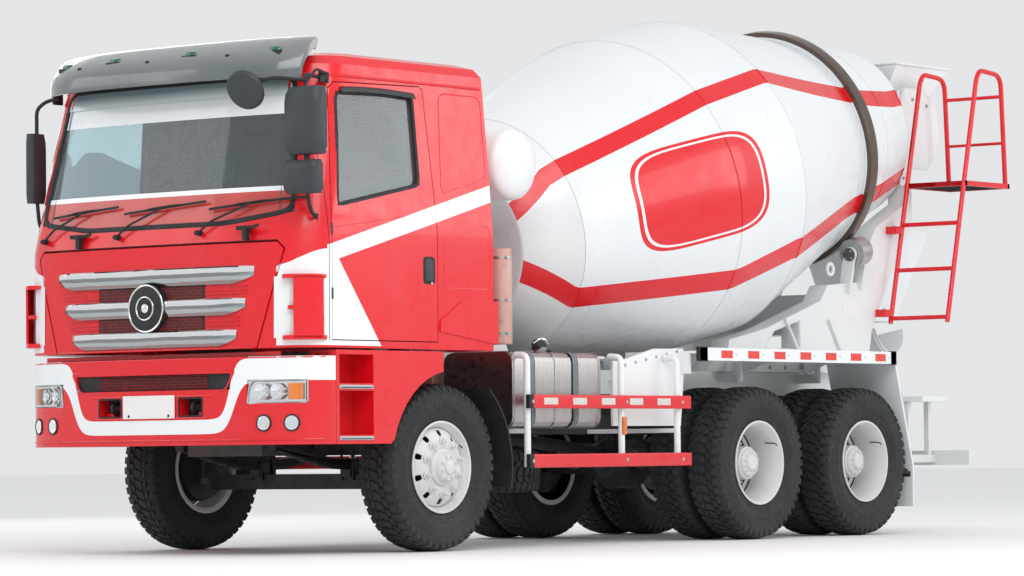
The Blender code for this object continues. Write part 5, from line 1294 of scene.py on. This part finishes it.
def seats():
    for x, word in ((-0.72, "driver"), (0.72, "passenger")):
        piece = Piece(f"{word}_seat_cover", CLOTH)

        def cushion(w0, y0, z0, w1, y1, z1, thick, crown, rows=14, cols=12):
            """A crowned pad between two edges, thickest in the middle with rolled sides."""
            sections = []
            a, b = Vector((x, y0, z0)), Vector((x, y1, z1))
            along = (b - a).normalized()
            out = Vector((0, -along.z, along.y)) if along.z > 0.5 else Vector((0, 0, 1))
            for i in range(rows + 1):
                t = i / rows
                puff = (1 - abs(2 * t - 1) ** 4)
                half = (w0 + (w1 - w0) * t) * (0.9 + 0.1 * puff ** 0.5)
                seam = 0.01 if i in (rows // 3, rows - rows // 3) else 0.0
                centre = a.lerp(b, t)
                loop = []
                for k in range(cols * 2):
                    u = 2 * pi * k / (cols * 2)
                    cx, cy = cos(u), sin(u)
                    sx = math.copysign(abs(cx) ** 0.55, cx)
                    sy = math.copysign(abs(cy) ** 0.75, cy)
                    bolster = 0.018 * max(0.0, abs(sx) - 0.62) / 0.38 if sy > 0 else 0
                    height = thick * 0.5 * (0.55 + 0.45 * puff ** 0.5) * sy
                    if sy > 0:
                        height += crown * puff * (1 - sx * sx) + bolster - seam
                    loop.append(centre + Vector((half * sx, 0, 0)) + out * height)
                sections.append(loop)
            piece.loft(sections)
        cushion(0.245, -0.55, 1.695, 0.245, -0.065, 1.69, 0.125, 0.006)
        cushion(0.232, -0.105, 1.74, 0.225, 0.015, 2.405, 0.105, 0.008)
        cushion(0.128, 0.03, 2.455, 0.12, 0.058, 2.64, 0.08, 0.006, 10)
        piece.use(SEAL)
        for s in (-1, 1):
            piece.rod((x + s * 0.06, 0.03, 2.38), (x + s * 0.06, 0.04, 2.48), 0.007)
        piece.use(PLASTIC).block(x - 0.195, x + 0.195, -0.49, -0.07, 1.3405, 1.625, 0.01)
        piece.block(x - 0.225, x + 0.225, -0.53, -0.06, 1.612, 1.65, 0.01)
        obj = piece.done("cab", f"{word}_seat", slot="seat_cloth", sharp=50)
    belt = Piece("seat_belts", SEAL)
    for x in (-0.98, 0.98):
        belt.sheet([[Vector((x * (1 - 0.02 * k), y, z)), Vector((x * (1 - 0.02 * k) , y + 0.045, z))] for k,
                    (y, z) in
                   enumerate(((0.22, 2.6), (0.2, 2.2), (0.16, 1.8), (0.12, 1.5)))])
    belt.done("cab", fix=False, thick=0.002)


seats()


# ---------------------------------------------------------------- tanks, guards and fenders

def fuel_tank():
    piece = Piece("fuel_tank_straps", STEEL)
    outline = rounded([(0.53, 0.79), (1.11, 0.79), (1.11, 1.29), (0.53, 1.29)], 0.075, 6)
    for y in (0.985, 1.455):
        for grow, wide, look in ((0.002, 0.037, SEAL), (0.006, 0.027, STRAP)):
            piece.use(look)
            centre = Vector((0.82, 1.04))
            rows = []
            ring = evenly(outline, 89)
            for p in ring:
                d = (p - centre).normalized() * grow
                rows.append([(p.x + d.x, y - wide, p.y + d.y), (p.x + d.x, y + wide, p.y + d.y)])
            piece.sheet(rows, loop=True)
        piece.use(STEEL).bolt((1.112, y, 0.88), (1, 0, 0), 0.009).bolt((1.112, y, 0.85), (1, 0, 0), 0.009)
        piece.use(STRAP).block(1.11, 1.122, y - 0.018, y + 0.018, 0.835, 0.9, 0.003)
    piece.use(ALLOY)
    for y in (0.8, 1.235, 1.72):
        piece.pipe([(p.x, y, p.y) for p in evenly(outline, 89)], 0.0045, 8, loop=True)
    piece.use(SEAL).rod((0.98, 1.22, 1.315), (1.012, 1.22, 1.356), 0.052).rod((0.975, 1.22, 1.3),
            (0.985, 1.22, 1.318), 0.044)
    piece.use(CHROME).tube([(0.99, 1.165, 1.35), (1.02, 1.2, 1.385), (1.03, 1.25, 1.375), (1.02, 1.275, 1.345)],
                           0.006, 8, 0.02)
    piece.use(SEAL).tube([(0.8, 1.6, 1.27), (0.8, 1.6, 1.31), (0.62, 1.62, 1.3), (0.46, 1.62, 1.1)], 0.008, 8, 0.03)
    piece.use(ALLOY).rod((0.8, 1.6, 1.268), (0.8, 1.6, 1.29), 0.02)
    piece.done("chassis", fix=False)


fuel_tank()


def guards():
    for side, word in ((1, "left"), (-1, "right")):
        piece = Piece(f"guard_rails_{word}", RED)
        for low in (0.525, 0.915):
            ring = rounded([(1.2155, low), (1.2445, low), (1.2445, low + 0.09), (1.2155, low + 0.09)], 0.012, 4)
            rows = [[(side * u, y, v) for u, v in ring] for y in (0.795, 2.595)]
            piece.use(RED).loft(rows)
            piece.use(SEAL).block(side * 1.2145, side * 1.2449, 0.79, 0.835, low - 0.0005, low + 0.0905, 0.004)
        piece.use(SILVER_FILM)
        for k in range(5):
            y = 1.02 + k * 0.315
            piece.block(side * 1.244, side * 1.245, y - 0.075, y + 0.075, 0.94, 0.985, 0.0)
        piece.use(WHITE)
        for y in (0.83, 1.86, 2.5):
            piece.tube([(side * 1.193, y, 0.53), (side * 1.193, y, 1.262), (side * 1.1, y, 1.268)], 0.0225, 16,
                       0.07)
            for z in (0.57, 0.96):
                piece.use(STEEL).bolt((side * 1.244, y, z), (side, 0, 0), 0.008, 0.001).use(WHITE)
        for y in (0.83, 2.5):
            piece.block(side * 0.4305, side * 1.2, y - 0.018, y + 0.018, 0.752, 0.782, 0.004)
        for y in (1.86, 2.5):
            piece.use(WHITE).tube([(side * 1.1, y, 1.268), (side * 1.09, y, 1.268)], 0.02, 12)
        piece.use(AMBER).slab("X", rounded([(1.838, 0.74), (1.882, 0.74), (1.882, 0.862), (1.838, 0.862)], 0.015),
                              side * 1.214, side * 1.226, 0.003)
        piece.done("chassis", f"side_guard_{word}", slot="body_white")


guards()


def fenders():
    for side, word in ((1, "left"), (-1, "right")):
        piece = Piece(f"fender_trim_{word}", RED_FILM)
        for k in range(7):
            y = 3.03 + k * 0.325
            piece.use(RED_FILM).block(side * 1.244, side * 1.2451, y - 0.07, y + 0.07, 1.268, 1.322, 0.0)
            piece.use(STEEL).bolt((side * 1.244, y + 0.115, 1.295), (side, 0, 0), 0.005, 0.001)
        piece.use(AMBER).slab("X", rounded([(3.655, 1.272), (3.745, 1.272), (3.745, 1.318), (3.655, 1.318)], 0.018),
                              side * 1.2405, side * 1.2449, 0.001)
        piece.use(SEAL).block(side * 1.215, side * 1.245, 2.705, 2.8, 1.245, 1.345, 0.004)
        piece.block(side * 1.215, side * 1.245, 5.12, 5.195, 1.245, 1.345, 0.004)
        # rubber flap under the rear panel and its clamp strip
        piece.use(SEAL).slab("X", [(5.404, 0.46), (5.412, 0.46), (5.44, 0.205), (5.432, 0.205)], side * 0.66,
                             side * 1.215, 0.002)
        piece.use(STEEL).block(side * 0.68, side * 1.2, 5.398, 5.4035, 0.44, 0.475, 0.001)
        for k in range(5):
            piece.bolt((side * (0.72 + 0.11 * k), 5.398, 0.457), (0, -1, 0), 0.008)
        for k in range(6):
            piece.use(STEEL).bolt((side * 1.0805, 2.06 + 0.12 * k, 1.215 + 0.02 * k), (side, 0, 0), 0.008)
        piece.use(WHITE)
        for y in (3.3, 4.1, 4.9):
            piece.slab("Y", [(side * 0.62, 1.299), (side * 1.215, 1.299), (side * 1.215, 1.285), (side * 0.8, 1.25),
                             (side * 0.62, 1.18)], y, y + 0.012, 0.0)
        piece.use(TAIL).rod((side * 1.1, 5.43, 1.02), (side * 1.1, 5.405, 1.02), 0.045)
        piece.done("chassis")
    rear = Piece("rear_lamps", SEAL)
    for s in (-1, 1):
        rear.use(SEAL).block(s * 0.7, s * 1.1, 6.322, 6.3305, 0.515, 0.598, 0.003)
        rear.use(TAIL).block(s * 0.71, s * 0.9, 6.326, 6.3315, 0.525, 0.588, 0.001)
        rear.use(AMBER).block(s * 0.905, s * 1.0, 6.326, 6.3315, 0.525, 0.588, 0.001)
        rear.use(LENS).block(s * 1.005, s * 1.09, 6.326, 6.3315, 0.525, 0.588, 0.001)
        rear.use(AMBER).block(s * 1.15, s * 1.199, 6.255, 6.3, 0.525, 0.585, 0.004)
        rear.use(RED_FILM).block(s * 0.2, s * 0.5, 6.3295, 6.331, 0.53, 0.58, 0.0)
    rear.use(PLATE).block(-0.17, 0.17, 6.3295, 6.3315, 0.515, 0.6, 0.001)
    rear.done("chassis")


fenders()


def ladder():
    piece = Piece("ladder_tubes", RED)
    def lean(z):
        return 6.06 + (z - 1.63) * 0.251
    for x in (0.64, 1.15):
        piece.tube([(x, lean(1.6), 1.582), (x, lean(3.46), 3.46), (x, 6.57, 3.522), (x, 6.87, 3.502),
                    (x, 6.92, 2.64)], 0.0188, 16, 0.1)
    for z in (1.62, 1.99, 2.34):
        piece.rod((0.64, lean(z), z), (1.15, lean(z), z), 0.0168, n=14)
    piece.rod((0.64, 6.885, 3.34), (1.15, 6.885, 3.34), 0.014, n=12).rod((0.64, 6.905, 2.98), (1.15, 6.905, 2.98),
            0.012, n=12)
    for a, b in (((0.62, 6.31), (1.17, 6.335)), ((0.62, 6.925), (1.17, 6.95))):
        piece.block(a[0], b[0], a[1], b[1], 2.626, 2.664, 0.003)
    for x in (0.62, 1.148):
        piece.block(x, x + 0.022, 6.31, 6.95, 2.626, 2.664, 0.003)
    for z in (1.66, 2.3):
        piece.block(0.5605, 0.655, lean(z) - 0.1, lean(z) + 0.01, z - 0.028, z + 0.028, 0.004)
        piece.use(STEEL).bolt((0.6, lean(z) - 0.045, z + 0.0285), (0, 0, 1), 0.01).use(RED)
    piece.use(BLACK)
    for i in range(13):
        y = 6.345 + i * 0.0475
        piece.block(0.64, 1.15, y, y + 0.007, 2.63, 2.66, 0.0)
    for i in range(9):
        x = 0.69 + i * 0.053
        piece.block(x, x + 0.005, 6.335, 6.925, 2.646, 2.657, 0.0)
    piece.done("chassis", "access_ladder", slot="cab_red")


ladder()


# ---------------------------------------------------------------- drum supports, hoppers and running gear

def supports():
    piece = Piece("pedestal_details", FRAME_WHITE)
    for side in (-1, 1):
        x = side * 0.5615
        for k in range(9):
            t = k / 8
            piece.use(STEEL).bolt((x, 4.14 + 1.6 * t, 1.235), (side, 0, 0), 0.011)
        piece.use(FRAME_WHITE)
        ring = rounded([(4.47, 1.365), (4.94, 1.365), (4.94, 1.595), (4.6, 1.512)], 0.02, 4)
        piece.pipe([(x, u, v) for u, v in ring], 0.007, 6, loop=True)
        piece.use(PLATE).block(side * 0.5602, side * 0.5615, 5.52, 5.74, 1.62, 1.74, 0.0)
        piece.block(side * 0.5602, side * 0.5615, 5.93, 6.05, 1.84, 1.95, 0.0)
        piece.use(FRAME_WHITE)
        for y in (4.72, 5.3):
            piece.slab("X", [(y, 1.6), (y + 0.012, 1.6), (y + 0.3, 1.21), (y + 0.26, 1.21)], side * 0.562,
                       side * 0.585, 0.0)
        piece.use(FRAME_WHITE).lathe([(0, 0.055), (0.012, 0.052), (0.012, 0.03), (0.0, 0.026)],
                                     aim((side * 0.5605, 5.35, 1.98), (side, 0, 0)), 24)
        # roller bracket nuts and grease nipple
        under = Vector((side * sin(rad(38)), 0, 0)) - DRUM_UP * cos(rad(38))
        centre = DRUM_HEAD + DRUM_AXIS * TRACK_S + under * 1.0273
        for s in (-1, 1):
            face = centre + DRUM_AXIS * s * 0.1015
            spot = aim(face, DRUM_AXIS * s)
            piece.use(CAST).lathe([(0, 0.052), (0.01, 0.05), (0.014, 0.04), (0.014, 0.0)], spot, 28)
            for k in range(4):
                t = pi / 4 + k * pi / 2
                off = Vector((cos(t), 0, 0)) + DRUM_UP * sin(t)
                piece.use(STEEL).bolt(face + off * 0.036 + DRUM_AXIS * s * 0.012, DRUM_AXIS * s, 0.006)
    piece.use(CAST)
    for k in range(10):
        off = Vector((cos(k * pi / 5), 0, 0)) + DRUM_UP * sin(k * pi / 5)
        piece.bolt(DRUM_HEAD - DRUM_AXIS * 0.602 + off * 0.1, -DRUM_AXIS, 0.009)
    piece.use(SEAL).tube([(0.1, 1.03, 2.02), (0.1, 0.96, 1.9), (0.25, 0.98, 1.6), (0.3, 1.0, 1.25)], 0.014, 10,
                         0.08)
    piece.tube([(-0.1, 1.03, 2.02), (-0.1, 0.95, 1.88), (-0.27, 0.98, 1.55), (-0.3, 1.0, 1.25)], 0.014, 10, 0.08)
    piece.use(CAST).rod((0, 1.0, 1.93), (0, 0.92, 1.912), 0.085, 0.075, 28)
    piece.done("chassis", fix=False)
    hopper = Piece("hopper_edges", WHITE)
    corners = [(-0.5, 6.42, 3.61), (0.5, 6.42, 3.61), (0.5, 7.15, 3.61), (-0.5, 7.15, 3.61)]
    for a, b in zip(corners, corners[1:] + corners[:1]):
        hopper.rod(a, b, 0.009, n=10)
    for s in (-1, 1):
        hopper.use(STEEL)
        for y, z in ((6.46, 2.72), (6.46, 2.84), (6.5, 3.05), (6.6, 3.34), (6.8, 3.3)):
            hopper.bolt((s * 0.5155, y, z), (s, 0, 0), 0.01)
        hopper.use(WHITE).pipe([(s * 0.512, y, z) for y,
                                z in ((6.38, 2.8), (6.8, 2.8), (6.95, 2.95), (6.98, 3.1), (6.95, 3.3), (6.75, 3.42),
                                      (6.5, 3.42), (6.38, 3.2))], 0.006, 6, loop=True)
    hopper.done("chassis")


supports()


def running_gear():
    piece = Piece("spring_leaves", BLACK)
    for side in (-1, 1):
        for k in range(5):
            half, x = 0.78 - 0.13 * k, side * 0.395
            rows = []
            for i in range(13):
                u = -1 + 2 * i / 12
                z = 0.598 - 0.012 * (k + 1) + 0.085 * (u * half / 0.78) ** 2
                rows.append([(x - 0.035, u * half, z - 0.01), (x + 0.035, u * half, z - 0.01),
                             (x + 0.035, u * half, z), (x - 0.035, u * half, z)])
            piece.loft(rows)
        for y in (-0.055, 0.055):
            for dx in (-0.048, 0.048):
                piece.tube([(side * 0.395 + dx, y, 0.46), (side * 0.395 + dx, y, 0.66)], 0.009, 8)
        piece.use(BLACK).rod((side * 0.345, -0.3, 0.66), (side * 0.345, -0.3, 0.98), 0.028)
    piece.use(BLACK)
    piece.rod((0, 0.8, 0.86), (0, 3.22, 0.62), 0.045).rod((0, 3.66, 0.56), (0, 4.62, 0.56), 0.04)
    for y in (REAR_YS["mid"], REAR_YS["rear"]):
        for t in range(12):
            a = t * pi / 6
            piece.bolt((0.15 * cos(a), y - 0.145, HUB_Z + 0.15 * sin(a)), (0, -1, 0.3), 0.008)
        for s in (-1, 1):
            piece.use(CAST).rod((s * 0.3, y - 0.13, HUB_Z + 0.03), (s * 0.3, y - 0.3, HUB_Z + 0.06), 0.07)
            piece.use(BLACK)
    for y in [0.2 + 0.22 * i for i in range(27)]:
        for s in (-1, 1):
            piece.bolt((s * 0.4302, y, 0.8), (s, 0, 0), 0.009)
            piece.bolt((s * 0.4302, y, 0.98), (s, 0, 0), 0.009)
    piece.use(SEAL)
    for dz in (0.0, 0.025):
        piece.tube([(0.445, 0.5, 0.9 + dz), (0.445, 5.9, 0.9 + dz)], 0.007, 8)
        piece.tube([(-0.445, 0.5, 0.9 + dz), (-0.445, 5.9, 0.9 + dz)], 0.007, 8)
    piece.done("chassis", fix=False)
    tanks = Piece("battery_trim", SEAL)
    tanks.block(-1.1215, -0.548, 0.845, 1.555, 1.165, 1.203, 0.006)
    for y in (1.0, 1.4):
        tanks.use(STEEL).block(-1.1225, -1.119, y - 0.02, y + 0.02, 0.86, 1.19, 0.001)
    tanks.use(SEAL)
    for y in (1.62, 2.08):
        tanks.use(GREY_PAINT).lathe([(0, 0.1305), (0.02, 0.1315), (0.03, 0.1305)], aim((-0.85, y, 0.95), (0, 1, 0)),
                                    40)
    tanks.done("chassis")
    stack = Piece("stack_shield", RUST)
    stack.lathe([(0.0, 0.06), (0.0, 0.0755), (0.004, 0.0765), (0.62, 0.0765), (0.6235, 0.0755), (0.6235, 0.06),
                 (0.5, 0.058)], aim((0.98, 0.83, 1.345), (0, 0, 1)), 48)
    for z in (1.4, 1.62, 1.9):
        stack.use(STEEL).lathe([(0, 0.0765), (0.0, 0.0785), (0.018, 0.0785), (0.018, 0.0765)],
                               aim((0.98, 0.83, z), (0, 0, 1)), 48)
        stack.bolt((1.058, 0.8, z + 0.009), (1, -0.3, 0), 0.006)
    stack.done("chassis")
    chute = Piece("chute_ribs", WHITE)
    start, end = Vector((0.26, 6.62, 1.56)), Vector((-1.06, 6.62, 1.32))
    heading = (end - start).normalized()
    across = heading.cross(Vector((0, 0, 1))).normalized()
    up = across.cross(heading)
    for t in (0.02, 0.35, 0.68, 0.97):
        at = start.lerp(end, t)
        chute.pipe([at + (across * cos(t) + up * sin(t)) * 0.203 for t in spread(pi, 2 * pi, 16)], 0.006, 6)
    for s in (-1, 1):
        chute.pipe([start + across * s * 0.199 + heading * 0.01, end + across * s * 0.199 - heading * 0.01], 0.0065,
                   8)
    chute.done("chute")


running_gear()


# ---------------------------------------------------------------- camera, floor and light

def stage():
    right_of, turn, roll = rad(38.2085), rad(-2.3043), rad(-0.5902)
    back = Vector((sin(right_of) * cos(turn), -cos(right_of) * cos(turn), sin(turn)))
    right = Vector((cos(right_of), sin(right_of), 0))
    up = back.cross(right)
    target = Vector((0, 2.1972, 1.7777)) + HOME
    lens = bpy.data.cameras.new("camera")
    lens.lens, lens.sensor_width, lens.clip_end = 4108.49 * 36 / 1024, 36, 300
    camera = bpy.data.objects.new("camera", lens)
    bpy.context.scene.collection.objects.link(camera)
    r, u = right * cos(roll) + up * sin(roll), up * cos(roll) - right * sin(roll)
    camera.matrix_world = Matrix((r, u, back)).transposed().to_4x4()
    camera.location = target + back * 28.7556
    bpy.context.scene.camera = camera
    bpy.context.scene.view_settings.view_transform = "Standard"
    world = bpy.data.worlds.new("studio")
    bpy.context.scene.world = world
    world.use_nodes = True
    world.node_tree.nodes["Background"].inputs[0].default_value = (0.97, 0.985, 1.0, 1)
    world.node_tree.nodes["Background"].inputs[1].default_value = 0.8
    bm = bmesh.new()
    bmesh.ops.create_grid(bm, x_segments=1, y_segments=1, size=90)
    mesh = bpy.data.meshes.new("floor")
    bm.to_mesh(mesh)
    floor = bpy.data.objects.new("floor", mesh)
    floor.location.z = LO.z - 0.001
    bpy.context.scene.collection.objects.link(floor)
    pale = Look("floor", (0.9, 0.905, 0.91), 0.8, edge=0)
    pale.over(pale.noise(0.8).ramp(0.4, 0.7) * 0.1, (0.86, 0.865, 0.87))
    mesh.materials.append(pale.made)
    for place, aim_at, wide, high, watts in (((9, -9, 9), (0, -1, 1.6), 9, 6, 700),
                                             ((-9, -10, 7), (0, -2, 1.6), 7, 5, 150),
                                             ((12, 8, 6), (0, 1.5, 1.8), 7, 5, 350),
                                             ((-12, 6, 6), (0, 1.5, 1.8), 7, 5, 150)):
        lamp = bpy.data.lights.new("softbox", "AREA")
        lamp.shape, lamp.size, lamp.size_y, lamp.energy = "RECTANGLE", wide, high, watts
        box = bpy.data.objects.new("softbox", lamp)
        box.location = place
        box.rotation_euler = (Vector(aim_at) - Vector(place)).to_track_quat("-Z", "Y").to_euler()
        bpy.context.scene.collection.objects.link(box)


stage()
